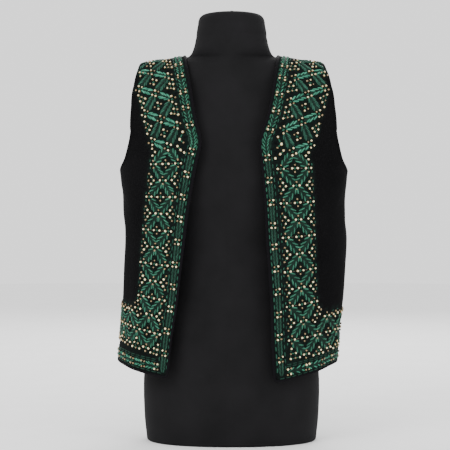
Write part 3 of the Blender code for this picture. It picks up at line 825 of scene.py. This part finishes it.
class Embroidery:
    """Stitches and beads of one front, gathered on its flat layout.

    Distances along the cloth are in metres; sizes of stitches are in millimetres.
    """

    def __init__(self, flat):
        self.flat = flat
        self.side = flat.side
        self.which = (flat.side + 1) // 2       # row of the charts: 0 right, 1 left
        self.random = random.Random(31 + flat.side)
        self.strands = []       # start, end, bow, radius, lift, colour
        self.beads = []         # place, axis, size, length, lean, crown colour (painted highlight), side colour (painted shade)

    def vary(self, spread):
        return self.random.uniform(-spread, spread)

    def shade(self, colour, spread=0.14):
        return colour * (1 + self.vary(spread))

    def within(self, place, inset=3.5):
        """Whether a flat place is on this front, clear of its seams and armhole."""
        across, level = place
        if level < SCOOP_LEVEL:
            end = self.flat.seam(level)
        else:
            end = self.flat.across(armhole_angle(self.side, "front", level), min(level, TOP_LEVEL))
        return level < TOP_LEVEL - inset * MM and across < end - inset * MM

    def stitch(self, start, end, width, colour=LEAF_GREEN, strands=PAIR, lift=0.0):
        """A few strands side by side, drawn together at both ends."""
        if self.within(start, 1.5) and self.within(end, 1.5):
            sway = self.vary(0.3) * MM * turned_left(unit(end - start))
            # Each strand's colour is scaled by its factor from the strand table, a painted highlight or painted shade
            # in SATIN.
            for bow, thick, rise, painted_light in strands:
                self.strands.append((start + sway, end - sway, bow * width * MM, thick * width * MM,
                                     lift * MM + rise, self.shade(colour * painted_light, 0.24)))

    def bead(self, place, axis, bright=True, size=1.0):
        if not self.within(place):
            return
        jitter = np.array([self.vary(0.4), self.vary(0.4)]) * MM
        turn = self.vary(0.6)
        axis = math.cos(turn) * unit(axis) + math.sin(turn) * turned_left(unit(axis))
        faded = 0.40 * min(max((place[1] - PALE_CHEST[0]) / PALE_CHEST[1], 0.0), 1.0)
        # Bright and dim beads are lit and shaded copies of one bead: painted highlight and painted shade. The crown
        # colour is painted highlight on the top, the side colour painted shade.
        crown, rim = (mix(CREAM, TAN, faded), GOLD) if bright else (TAN, BROWN)
        size *= self.random.uniform(*((0.90, 1.06) if bright else (0.82, 0.98)))
        self.beads.append((place + jitter, axis, size, self.random.uniform(0.85, 1.3), self.vary(0.35),
                           self.shade(crown), self.shade(rim, 0.25)))

    def padding(self, start, end, width):
        """Dark stitches laid under a leaf, wide in the middle; their near-black green is painted shade in the gaps
        between the leaf's stitches.
        """
        if self.within(start, 1.0) and self.within(end, 1.0):
            thick = width * MM / PADDING
            for i in range(PADDING):
                bow = (i - (PADDING - 1) / 2) * thick
                if self.within((start + end) / 2 + turned_left(unit(end - start)) * bow, 2.0):
                    colour = self.shade(UNDER_GREEN, 0.3)
                    self.strands.append((start, end, bow, thick / 1.7, -0.7 * MM, colour))

    def leaf(self, start, end, kind, margin=4.5, pairs=3, colour=None):
        """Two rows of slanting stitches that open away from the start, like an ear of wheat."""
        colour = kind.colour if colour is None else colour
        along = unit(end - start)
        start, end = start + along * margin * MM, end - along * margin * MM
        self.padding(start, end, kind.thick)
        out = turned_left(along)
        length = np.linalg.norm(end - start) / MM
        pitch = (length - kind.reach * math.cos(math.radians(kind.opening))) / (pairs - 1)
        for i in range(pairs):
            reach = kind.reach * (0.82 if i in (0, pairs - 1) else 1.0)
            for hand in (-1, 1):
                angle = math.radians(kind.opening + self.vary(2.5) + (3 if i == 0 else 0))
                foot = start + (along * (pitch * i + self.vary(0.3)) + out * hand * kind.gap) * MM
                tip = foot + (along * math.cos(angle) + out * hand * math.sin(angle)) * reach * MM
                self.stitch(foot, tip, kind.width, self.shade(colour), SATIN)

    def cross(self, at):
        self.stitch(at(-2.8, 0), at(2.8, 0), 2.0)
        self.stitch(at(0, -2.8), at(0, 2.8), 2.0, lift=0.3)

    def diamond(self, centre, right, dashes=0):
        """Four beads round a small cross; the left and right ones are painted bright, as lit, and the others darker,
        as shaded.

        Two short dashes stand beyond it on the side given."""
        at = framed(centre, right)
        if dashes:
            for hand in (-1, 1):
                self.stitch(at(dashes * 7.6, hand * 4.6), at(dashes * 6.8, hand * 8.8), 1.9)
        for hand in (-1, 1):
            self.bead(at(5.4 * hand, 0), right)
            self.bead(at(0, 6.6 * hand), turned_left(right), bright=False)
        self.cross(at)

    def block(self, centre, along, down, dark=0.8, lit=True):
        """Two rows of two beads, bright on one diagonal if lit; given by its half sizes."""
        for i in (-1, 1):
            for j in (-1, 1):
                self.bead(centre + (along * i + down * j) * MM, along,
                          bright=(lit and i * j < 0) or self.random.random() > dark)
        self.cross(framed(centre, unit(along)))

    def triangle(self, first, row, bead, widening=True):
        """Rows of one, two and three beads, or of three, two and one, on short green stitches."""
        for i in range(3):
            for j in range(i + 1 if widening else 3 - i):
                place = first + row * i + bead * j
                self.bead(place, bead, bright=(i + j) % 2 == 0 or self.random.random() > 0.75)
                if j:
                    self.stitch(place - bead * 0.8, place - bead * 0.2, 2.0)
                if i:
                    self.stitch(place - row * 0.75, place - row * 0.25, 1.8, DARK_GREEN)

    def arrowhead(self, centre, way):
        """Border motif between two rows of the band: beads that open outward from their tip."""
        at = framed(centre, way)
        for out, high, bright in ((-6, 0, True), (-0.5, 6.4, True), (-0.5, -6.4, True),
                                  (3.5, 12.7, False), (3.5, -12.7, False), (5, 0, False)):
            self.bead(at(out, high), way, bright)
        for hand in (-1, 1):
            self.stitch(at(-3.5, hand * 2), at(-0.5, hand * 4.6), 1.8)
            self.stitch(at(0.5, hand * 8), at(3.0, hand * 11), 1.6)
            self.stitch(at(7.6, hand * 4.5), at(7.0, hand * 9.5), 1.7, DARK_GREEN)

    def running_line(self, places, colour, dash=8.0 * MM, pitch=12.5 * MM):
        """Running stitches along a line of places."""
        length = distances(places)
        begin = pitch / 3
        while begin + dash < length[-1]:
            ends = [np.interp([begin, begin + dash], length, column) for column in places.T]
            self.stitch(*np.transpose(ends), 2.1, colour, lift=-0.2)
            begin += pitch * self.random.uniform(0.94, 1.06)

    # ---- places on this front

    def on_border(self, level, off=0.0):
        """Flat place on the front border's middle line, or in from it, and the way it runs."""
        low, high = max(0.0, level - 0.010), min(TOP_LEVEL, level + 0.010)
        up = unit(np.array([self.flat.edge(high) - self.flat.edge(low), high - low]))
        inset = BORDER_DISTANCE[self.side](level) + off
        return np.array([self.flat.edge(level), level]) - turned_left(up) * inset, up

    def band_node(self, column, row):
        """Node of the wide band's lattice and the way its row runs; column 0 is the middle."""
        level = ROW_LEVEL[self.side](row)
        tilt = math.radians(ROW_TILT[self.side](level))
        out = COLUMN_PITCH[self.side](level) * column
        climb = math.tan(tilt) * (out if out < 0 else TILT_REACH * math.tanh(out / TILT_REACH))
        middle = self.flat.edge(level) + BAND_MIDDLE[self.side](level)
        return np.array([middle + out, level + climb]), np.array([math.cos(tilt), math.sin(tilt)])

    def lattice_node(self, column, row):
        origin, along, down, bend, fan = LATTICES[self.which]
        return origin + along * column + down * row + bend * row * row + fan * row * column

    # ---- the parts of the design

    def front_border(self):
        """Chevrons up the front edge, broken by bead clusters, between two running lines."""
        levels = CLUSTER_LEVELS[self.side]
        for level in levels:
            centre, up = self.on_border(level)
            out = turned_left(up)
            if level < NECKLINE_LEVEL:
                self.block(centre, out * 3.3, up * 4.1)
            else:
                self.block(centre, out * 4.8 + up * 1.3, up * 2.9)
        stops = [0.004] + levels + [TOP_LEVEL + 0.002]
        for low, high in zip(stops, stops[1:]):
            start, end = low + 5.0 * MM, high - 5.5 * MM
            # The darker green of the lower chevrons is painted shade, and the lighter green above the neckline a
            # lighter copy of the same thread.
            if low > NECKLINE_LEVEL - 0.05:
                tip_out, tip_up, colour = 5.8, 8.6, mix(LEAF_GREEN, DARK_GREEN, 0.2)
            else:
                tip_out, tip_up, colour = 4.0, 10.5, mix(DARK_GREEN, UNDER_GREEN, 0.62)
            self.padding(self.on_border(start - 1 * MM)[0], self.on_border(end + 2 * MM)[0], 12.0)
            last = end - (tip_up - 6.0) * MM
            count = max(1, round((last - start) / CHEVRON_PITCH))
            for i in range(count):
                at = framed(*self.on_border(mix(start, last, i / count)))
                for hand in (-1, 1):
                    foot, tip = at(0, hand * 1.2), at(tip_up, hand * tip_out)
                    self.stitch(foot, tip, 3.5, self.shade(colour), SATIN)
        for off, colour in ((-7.4 * MM, LEAF_GREEN), (8.4 * MM, DARK_GREEN)):
            line = [self.on_border(level, off)[0] for level in np.linspace(0.012, TOP_LEVEL - 0.006, 160)]
            self.running_line(np.array(line), colour)

    def wide_band(self):
        """Leaves in a diagonal lattice with bead diamonds, up the front to the chest."""
        for row in range(BAND_ROWS):
            three = row % 2 == 1
            for column in (-1, 0, 1):
                centre, right = self.band_node(column, row)
                if three or column == 0:
                    self.diamond(centre, right, dashes=column)
                elif row > 2 or (row == 2 and column < 0):
                    self.arrowhead(centre, right * column)
            if three:
                for column in (-1, 1):
                    (border, right), (middle, _) = self.band_node(column, row), self.band_node(0, row)
                    at = framed((border + middle) / 2, right)
                    self.stitch(at(-2.6, 0), at(2.6, 0), 0.7, THREAD_CREAM, SINGLE)
        for row in range(TOP_ROW):
            for column in (-1, 1):
                ends = [self.band_node(column * ((row + step) % 2), row + step)[0] for step in (1, 0)]
                self.leaf(*ends, LEAF, colour=mix(LEAF_GREEN, DARK_GREEN, 0.3))
        corner, right = self.band_node(-1, 0)
        out, up, step = CORNER_TRIANGLE[self.side]
        first = framed(corner, right)(out, up)
        self.triangle(first, turned_left(right) * CORNER_DROP * MM, right * step * MM, widening=False)

    def hem_band(self):
        """The same lattice carried round above the hem, out to the side seam."""
        seam = self.flat.seam(0.06) - 6 * MM
        apex, down, step = HEM_TRIANGLE[self.side]
        for column in range(1, SIDE_COLUMNS + 1):
            for row in (0, 1, 2):
                centre, right = self.band_node(column, row)
                if centre[0] > seam or (column == 1 and row == 1):
                    continue
                at, up = framed(centre, right), turned_left(right)
                if row == 2 and column == 1:
                    centre = at(*TURN_SHIFT[self.side])
                    self.diamond(centre, right)
                    for out, high, bright in TURN_BEADS:
                        self.bead(framed(centre, right)(out, high), up, bright)
                elif (column + row) % 2 == 0 or row == 1:
                    self.diamond(centre, right)
                elif row == 0:
                    self.triangle(at(0, apex), (up * -down - right * step / 2) * MM, right * step * MM)
                else:
                    self.arrowhead(centre, up)
        for column in range(1, SIDE_COLUMNS):
            for row in (0, 1):
                nearer = (column + row) % 2     # which of the two rows has the nearer end
                ends = [self.band_node(column + abs(step - nearer), row + step)[0] for step in (1, 0)]
                if max(end[0] for end in ends) < seam:
                    self.leaf(*ends, LEAF, colour=mix(LEAF_GREEN, DARK_GREEN, 0.5))

    def hem_chain(self):
        """Wheat-ear chain with bead clusters along the hem, between running lines."""
        level, pitch, firsts = HEM_CHAIN[self.side]
        end = self.flat.seam(level) - 5 * MM
        places = [self.flat.edge(level) + first for first in firsts]
        while places[-1] + pitch < end:
            places.append(places[-1] + pitch)
        right, up = np.eye(2)
        for place, following in zip(places, places[1:] + [places[-1] + pitch]):
            here, there = np.array([place, level]), np.array([following, level])
            self.block(here, right * 3.2, up * 4.9, dark=0.88, lit=place == places[0])
            self.leaf(here, there, HEM_LEAF, margin=3.0)
        start = self.flat.edge(0.02) + 0.006
        for off in HEM_LINES:
            across = np.linspace(start + (0.016 if off > 0 else 0.004), end, 120)
            self.running_line(stacked(across, level + off), mix(DARK_GREEN, UNDER_GREEN, 0.6),
                              dash=9.0 * MM, pitch=11.5 * MM)

    def upper_lattice(self):
        """Bright leaves along the rows and dark steep ones between them, up to the shoulder."""
        node = self.lattice_node
        half_sizes = unit(node(-1, 0) - node(1, 0)) * 3.75, unit(node(0, 1) - node(1, 0)) * 5.4
        for row in (-2, -1, 0, 1, 2):
            columns = (-1, 0) if row == 2 else (-1, 0, 1)
            for column in columns:
                shift = np.array([-10, -17]) * MM if column == row == -1 else 0
                self.block(node(column, row) + shift, *half_sizes)
            for column in columns[:-1]:
                ends = [node(column + 1, row), node(column, row)]
                if column == columns[0]:
                    ends.reverse()
                if row == -2:
                    self.leaf(*ends, STEEP_LEAF, 4.0, pairs=4)
                else:
                    self.leaf(*ends, ROW_LEAF, 5.0)
        for row in (-2, -1, 0, 1):
            self.block((node(0, row) + node(0, row + 1)) / 2, *half_sizes)
            for column in (0, 1):
                self.leaf(node(column, row), node(column - 1, row + 1), STEEP_LEAF, 6.0, pairs=4)
        first, down, step = NECK_TRIANGLES[self.which]
        for row in (-2, -1, 0):
            self.triangle(node(1, row) + first, down, step)
        upper, down, step, lower = ARM_TRIANGLES[self.which]
        self.triangle(node(-1, 0) + upper, down * 1.15, step, widening=False)
        self.triangle(node(-1, 1) + lower, down * 0.95, step, widening=False)

    def chest(self):
        """Leaves and loose beads that join the upper lattice to the top row of the wide band."""
        for column in (-1, 1):
            self.leaf(self.band_node(column, TOP_ROW)[0], self.lattice_node(0, 2), LEAF, 5.0,
                      colour=mix(LEAF_GREEN, DARK_GREEN, 0.15))
        border, right = self.band_node(1, TOP_ROW)
        for out, high in ((1.5, 28), (-4.5, 22.5), (1.0, 16)):
            self.bead(framed(border, right)(out, high), right)
        places = self.lattice_node(1, 1) + CHEST_BEADS[self.which]
        for i, place in enumerate(places):
            self.bead(place, NECK_TRIANGLES[self.which][1], bright=i != 2, size=1.15)
        for low, high in ((0, 1), (1, 2), (3, 4)):
            self.stitch(*(mix(places[low], places[high], t) for t in (0.25, 0.75)), 2.4)

    def draw(self):
        for part in (self.front_border, self.wide_band, self.hem_band, self.hem_chain, self.upper_lattice,
                     self.chest):
            part()
        return self


# ---- embroidery: its meshes

STRAND_STOPS = np.array([0.0, 0.10, 0.34, 0.66, 0.90, 1.0])
STRAND_SIZES = np.array([0.45, 0.85, 1.0, 1.0, 0.85, 0.45])
STRAND_SIDES = 5
STRAND_SINK, STRAND_RISE = 0.15 * MM, 0.35 * MM     # at its ends, and over its middle
STRAND_OFFSETS = 0.001, 0.013   # of the twist, from side to side and strand to strand


def make_stitches(name, work, finish):
    """All strands of one front as one mesh of small closed tubes."""
    starts, ends, bows, radii, lifts, colours = (np.array(column) for column in zip(*work.strands))
    starts, bows, radii, lifts = starts[:, None], bows[:, None], radii[:, None], lifts[:, None]
    run = ends[:, None] - starts
    length = np.linalg.norm(run, axis=-1)
    across = stacked(-run[..., 1], run[..., 0]) / length[..., None]
    t = STRAND_STOPS
    bow = bows * np.sin(math.pi * (0.06 + 0.88 * t)) ** 0.8
    rise = (0.75 * radii + STRAND_RISE + lifts) * np.sin(math.pi * t) ** 0.6
    places = starts + run * t[:, None] + across * bow[..., None]
    centres, normals = work.flat.hung(places, WOOL - STRAND_SINK + rise)
    sideways = unit(np.cross(unit(np.gradient(centres, axis=1)), normals))
    turns = around(STRAND_SIDES)[:, None]
    ring = sideways[:, :, None] * np.cos(turns) + normals[:, :, None] * 0.9 * np.sin(turns)
    points = centres[:, :, None] + ring * (radii * STRAND_SIZES)[..., None, None]
    count, stops = rise.shape
    u = (length * t)[..., None]
    v = (np.arange(STRAND_SIDES) * STRAND_OFFSETS[0]
         + np.arange(count)[:, None, None] * STRAND_OFFSETS[1])
    tints = np.broadcast_to(np.insert(colours, 3, 1, axis=1)[:, None, None], points.shape[:3] + (4,))
    return new_mesh_object(name, points, tube_faces(count, stops, STRAND_SIDES, flip=True), finish,
                           stacked(u, v), tints)


# a bead's section from one end of its bore to the other: along the bore, out from it
BEAD_SECTION = np.array([(-0.42, 0.26), (-0.78, 0.34), (-0.86, 0.58), (-0.66, 0.86), (-0.25, 1.0),
                         (0.25, 1.0), (0.66, 0.86), (0.86, 0.58), (0.78, 0.34), (0.42, 0.26)])
BEAD_SIDES = 10
BEAD_RADIUS = 2.0 * MM
BEAD_HEIGHT = 0.92              # of its width
BEAD_LIFT = 0.72                # its middle over the wool, of its radius


def make_beads(name, work, finish):
    """All beads of one front as one mesh, each sewn down with its bore along the cloth."""
    places, axes, sizes, lengths, leans, crowns, rims = (np.array(column) for column in zip(*work.beads))
    radius = BEAD_RADIUS * sizes
    rise = WOOL + radius * BEAD_LIFT
    centres, normals = work.flat.hung(places, rise)
    bore = work.flat.hung(places + axes * MM, rise)[0] - centres
    bore = unit(bore - normals * np.sum(bore * normals, axis=1, keepdims=True))
    sideways = np.cross(bore, normals)
    cos, sin = np.cos(leans)[:, None], np.sin(leans)[:, None]
    bore, normals = bore * cos + normals * sin, normals * cos - bore * sin
    along, out = BEAD_SECTION.T[..., None]
    turns = around(BEAD_SIDES)
    local = stacked(along, out * np.cos(turns), out * np.sin(turns) * BEAD_HEIGHT)
    frames = np.stack([bore * lengths[:, None], sideways, normals], axis=1) * radius[:, None, None]
    points = centres[:, None, None] + np.einsum("rsk,nkx->nrsx", local, frames)
    # Painted light in each bead's tint: highlight on its top, shade down its sides and darker shade into the bore.
    crown = ease(0.25, 0.88, local[..., 2:])
    painted_light = 0.15 + 0.85 * ease(0.25, 0.6, out)[..., None]       # darker into the bore
    tints = mix(rims[:, None, None], crowns[:, None, None], crown) * painted_light
    return new_mesh_object(name, points, tube_faces(len(places), len(along), BEAD_SIDES), finish,
                           tints=np.insert(tints, 3, 1, axis=-1))


def mark_worked(front, pieces, near=2.5 * MM, far=5.5 * MM):
    """Point attribute of a front's wool: 1 under and between the stitches and beads, 0 beyond."""
    points = [point.co for piece in pieces for point in piece.data.vertices]
    tree = KDTree(len(points))
    for i, point in enumerate(points):
        tree.insert(point, i)
    tree.balance()
    gaps = np.array([tree.find(point.co)[2] for point in front.data.vertices])
    layer = front.data.attributes.new("worked", "FLOAT", "POINT")
    layer.data.foreach_set("value", np.clip((far - gaps) / (far - near), 0, 1).astype(np.float32))


# ---- finishes

class Finish:
    """A material and its nodes."""

    def __init__(self, name, **shader):
        self.material = bpy.data.materials.new(name)
        self.material.use_nodes = True
        self.tree = self.material.node_tree
        self.shader = self.tree.nodes["Principled BSDF"]
        for key, value in shader.items():
            self.shader.inputs[key.replace("_", " ").title().replace("Ior", "IOR")].default_value = value

    def add(self, kind, values=None, **settings):
        """New node; its inputs are given by name or number, as numbers or as other outputs."""
        node = self.tree.nodes.new("ShaderNode" + kind)
        for key, value in settings.items():
            setattr(node, key, value)
        for key, value in (values or {}).items():
            if isinstance(value, bpy.types.NodeSocket):
                self.tree.links.new(value, node.inputs[key])
            else:
                node.inputs[key].default_value = value
        return node

    def noise(self, scale, detail, stretch=None):
        place = self.add("TexCoord").outputs["Object"]
        if stretch:
            place = self.add("Mapping", {"Vector": place, "Scale": stretch}).outputs[0]
        return self.add("TexNoise", {"Vector": place, "Scale": scale, "Detail": detail}).outputs[0]

    def uv(self):
        return self.add("SeparateXYZ", {0: self.add("UVMap").outputs[0]}).outputs[:2]

    def attribute(self, name, output):
        return self.add("Attribute", attribute_name=name, attribute_type="GEOMETRY").outputs[output]

    def math(self, operation, a, b):
        return self.add("Math", {0: a, 1: b}, operation=operation).outputs[0]

    def mean(self, a, b):
        return self.math("MULTIPLY", self.math("ADD", a, b), 0.5)

    def ramp(self, factor, *stops):
        """Colours at the places given, one grey each or three values."""
        node = self.add("ValToRGB", {0: factor})
        while len(node.color_ramp.elements) < len(stops):
            node.color_ramp.elements.new(0.5)
        for element, (place, *colour) in zip(node.color_ramp.elements, stops):
            element.position = place
            element.color = (*(colour * 3)[:3], 1)
        return node.outputs[0]

    def blend(self, factor, a, b, kind="MIX"):
        return self.add("Mix", {0: factor, 6: a, 7: b}, data_type="RGBA", blend_type=kind).outputs[2]

    def times(self, a, b):
        return self.blend(1.0, a, b, "MULTIPLY")

    def stripes(self, along, pitch, slant=0.0, across=None):
        """Wave between 0 and 1 along a coordinate, of the given pitch."""
        turns = self.math("DIVIDE", along, pitch)
        if across is not None:
            turns = self.math("ADD", turns, self.math("MULTIPLY", across, slant))
        wave = self.math("SINE", self.math("MULTIPLY", turns, 2 * math.pi), 0.0)
        return self.math("ADD", self.math("MULTIPLY", wave, 0.5), 0.5)

    def done(self, colour, roughness, *bumps):
        """The material, with its colour, its roughness as a factor, low and high, and its
        bumps as layers of height, strength and depth in metres, the coarsest first."""
        normal = None
        for height, strength, depth in bumps:
            values = {"Height": height, "Strength": strength, "Distance": depth}
            if normal is not None:
                values["Normal"] = normal
            normal = self.add("Bump", values).outputs[0]
        factor, low, high = roughness
        rough = self.add("MapRange", {0: factor, 3: low, 4: high}).outputs[0]
        for key, output in (("Base Color", colour), ("Roughness", rough), ("Normal", normal)):
            self.tree.links.new(output, self.shader.inputs[key])
        return self.material


def wool_finish():
    """Black felted wool: short fuzz, faint mottling and a soft dull sheen.

    Between the stitches and beads it carries a green lint."""
    finish = Finish("wool", sheen_weight=0.012, sheen_roughness=0.55, sheen_tint=(0.62, 0.62, 0.68, 1),
                    specular_ior_level=0.02)
    patches, fuzz = finish.noise(11.0, 4.0), finish.noise(520.0, 5.0)
    fibres = finish.noise(160.0, 6.0, (1, 1, 2.6))
    ground = finish.ramp(patches, (0.30, 0.0026, 0.0026, 0.0028), (0.72, 0.0048, 0.0047, 0.0050))
    specks = finish.ramp(fuzz, (0.42, 0.0017, 0.0017, 0.0019), (0.60, 0.0046, 0.0045, 0.0048),
                         (0.80, 0.0135, 0.0132, 0.0140))
    lint = finish.ramp(fibres, (0.35, 0.0036, 0.0056, 0.0050), (0.65, 0.0070, 0.0130, 0.0106))
    worked = finish.math("MULTIPLY", finish.attribute("worked", "Fac"), 0.8)
    return finish.done(finish.blend(worked, finish.blend(0.5, ground, specks), lint),
                       (fibres, 0.84, 0.98), (fibres, 0.30, 0.0010), (fuzz, 0.45, 0.0005))


def braid_finish():
    """Ribbed woven braid, near black with a cast of plum."""
    finish = Finish("braid", sheen_weight=0.012, sheen_roughness=0.40, specular_ior_level=0.04)
    along, across = finish.uv()
    ribs, threads = finish.stripes(along, 0.0012, 260.0, across), finish.stripes(across, 0.0009)
    worn = finish.noise(60.0, 4.0)
    weave = finish.mean(ribs, threads)
    dark = finish.ramp(weave, (0.10, 0.0014, 0.0013, 0.0017), (0.90, 0.0055, 0.0050, 0.0064))
    worn_off = finish.math("MULTIPLY", worn, 0.35)
    return finish.done(finish.blend(worn_off, dark, (0.008, 0.0073, 0.0088, 1)),
                       (worn, 0.55, 0.80), (ribs, 0.55, 0.0004), (threads, 0.35, 0.0002))


def jersey_finish():
    """Fine charcoal jersey: upright wales crossed by rows of loops."""
    finish = Finish("jersey", sheen_weight=0.02, sheen_roughness=0.45, sheen_tint=(0.80, 0.80, 0.85, 1),
                    specular_ior_level=0.05)
    along, across = finish.uv()
    wales, courses = finish.stripes(along, 0.0010), finish.stripes(across, 0.0008)
    cloudy, lint = finish.noise(16.0, 4.0), finish.noise(420.0, 3.0)
    knit = finish.mean(wales, courses)
    ground = finish.ramp(knit, (0.05, 0.0062, 0.0061, 0.0065), (0.95, 0.0132, 0.0130, 0.0138))
    faded = finish.ramp(cloudy, (0.30, 0.80), (0.75, 1.12, 1.10, 1.12))
    return finish.done(finish.times(ground, faded), (lint, 0.72, 0.92),
                       (wales, 0.22, 0.0003), (courses, 0.18, 0.0002), (lint, 0.20, 0.0003))


def thread_finish():
    """Stranded silky cotton; each stitch carries its own green."""
    finish = Finish("thread", sheen_weight=0.004, sheen_roughness=0.35, sheen_tint=(0.70, 0.90, 0.82, 1),
                    specular_ior_level=0.06)
    along, across = finish.uv()
    twist, worn = finish.stripes(along, 0.0011, 166.0, across), finish.noise(240.0, 4.0)
    plies = finish.ramp(twist, (0.0, 0.55), (1.0, 1.25))
    patchy = finish.ramp(worn, (0.30, 0.72, 0.74, 0.74), (0.70, 1.15, 1.12, 1.10))
    return finish.done(finish.times(finish.times(finish.attribute("tint", "Color"), plies), patchy),
                       (worn, 0.34, 0.58), (twist, 0.40, 0.0002))


def bead_finish():
    """Glazed cream beads; their tint is browner towards their sides and bores, painted shade, under a cream top of
    painted highlight.
    """
    finish = Finish("bead", coat_weight=0.45, coat_roughness=0.12, specular_ior_level=0.5)
    veins = finish.noise(310.0, 4.0, (1, 1, 0.5))
    streaks = finish.ramp(veins, (0.30, 0.80, 0.74, 0.66), (0.62, 1.06, 1.05, 1.02))
    return finish.done(finish.times(finish.attribute("tint", "Color"), streaks), (veins, 0.18, 0.36),
                       (veins, 0.12, 0.0003))


def floor_finish():
    """Matt white studio floor."""
    finish = Finish("floor", specular_ior_level=0.2)
    grain = finish.noise(9.0, 5.0)
    return finish.done(finish.ramp(grain, (0.25, 0.90), (0.75, 0.94)),
                       (grain, 0.80, 0.95), (grain, 0.05, 0.002))


# ---- stage

CAMERA_PLACE = (-0.01235, -2.6, 0.405)
LENS = 109.5
FLOOR_RADIUS = 7.0
FLOOR_DROP = 0.5 * MM           # below the part, so that their faces don't meet
SKY_STRENGTH = 1.5
# soft lights: name, place, height aimed at, width, height and power
LIGHTS = [("key", (-1.7, -2.4, 2.3), 0.45, 1.6, 1.6, 60), ("fill", (2.2, -2.0, 1.2), 0.4, 1.4, 1.8, 20),
          ("back", (0.4, 2.6, 2.2), 0.5, 1.8, 1.4, 60)]


def set_camera():
    data = bpy.data.cameras.new("camera")
    data.lens = LENS
    data.sensor_width = 36
    camera = new_object("camera", data, CAMERA_PLACE)
    camera.rotation_euler = (math.pi / 2, 0, 0)
    bpy.context.scene.camera = camera


def set_stage():
    mesh = bmesh.new()
    bmesh.ops.create_circle(mesh, cap_ends=True, segments=96, radius=FLOOR_RADIUS)
    data = bpy.data.meshes.new("floor")
    mesh.to_mesh(data)
    mesh.free()
    data.materials.append(floor_finish())
    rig.stage(new_object("floor", data, (0, 0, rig.bounds()[0][2] - FLOOR_DROP)))
    world = bpy.data.worlds.new("studio")
    world.use_nodes = True
    colour, strength = world.node_tree.nodes["Background"].inputs[:2]
    colour.default_value, strength.default_value = (1, 1, 1, 1), SKY_STRENGTH
    bpy.context.scene.world = world
    for name, place, aim, width, height, power in LIGHTS:
        data = bpy.data.lights.new(name, "AREA")
        data.shape, data.size, data.size_y, data.energy = "RECTANGLE", width, height, power
        light = new_object(name, data, place)
        x, y, z = place
        light.rotation_euler = (math.atan2(math.hypot(x, y), z - aim), 0, math.atan2(y, x) + math.pi / 2)
        light.visible_camera = False


# ---- putting it together

def settle(piece, slot, node=None):
    """Tells the frame a piece's slot and the solid that it stands for."""
    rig.ride(piece, "root")
    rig.slot(piece, slot)
    if node:
        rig.replaces(piece, node)
    return piece


def main():
    set_camera()
    wool, braid, jersey, thread, bead = (make() for make in (wool_finish, braid_finish, jersey_finish,
                                                             thread_finish, bead_finish))

    def bind(node, places):
        return settle(make_binding(node + "_braid", places, braid), "braid", node)

    def cut(panel, flat_size, area, with_pieces):
        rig.sheet(panel, flat=flat_size, area=area, held="hung", rests_on=[form], with_pieces=with_pieces)

    form = settle(make_form(jersey), "jersey", "dress_form")
    back = settle(make_back("back_wool", wool), "wool", "back")
    cut(back, (0.52, 0.66), 0.2785, [bind("binding_back_neck", back_neck_places()),
                                     bind("binding_back_hem", back_hem_places())])
    for side, name, flat_size, area in ((-1, "front_right", (0.24, 0.65), 0.0995),
                                        (1, "front_left", (0.23, 0.65), 0.107)):
        front = settle(make_front(name + "_wool", side, wool), "wool", name)
        binding = bind("binding_" + name, front_binding_places(side))
        work = Embroidery(FlatFront(side)).draw()
        stitches = settle(make_stitches(name + "_stitches", work, thread), "wool")
        beads = settle(make_beads(name + "_beads", work, bead), "wool")
        mark_worked(front, (stitches, beads))
        cut(front, flat_size, area, [binding, stitches, beads])
    set_stage()
    with open("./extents.json", "w") as out:
        json.dump({"cad": [list(corner) for corner in cad_box],
                   "visual": [list(corner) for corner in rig.bounds()]}, out)


main()
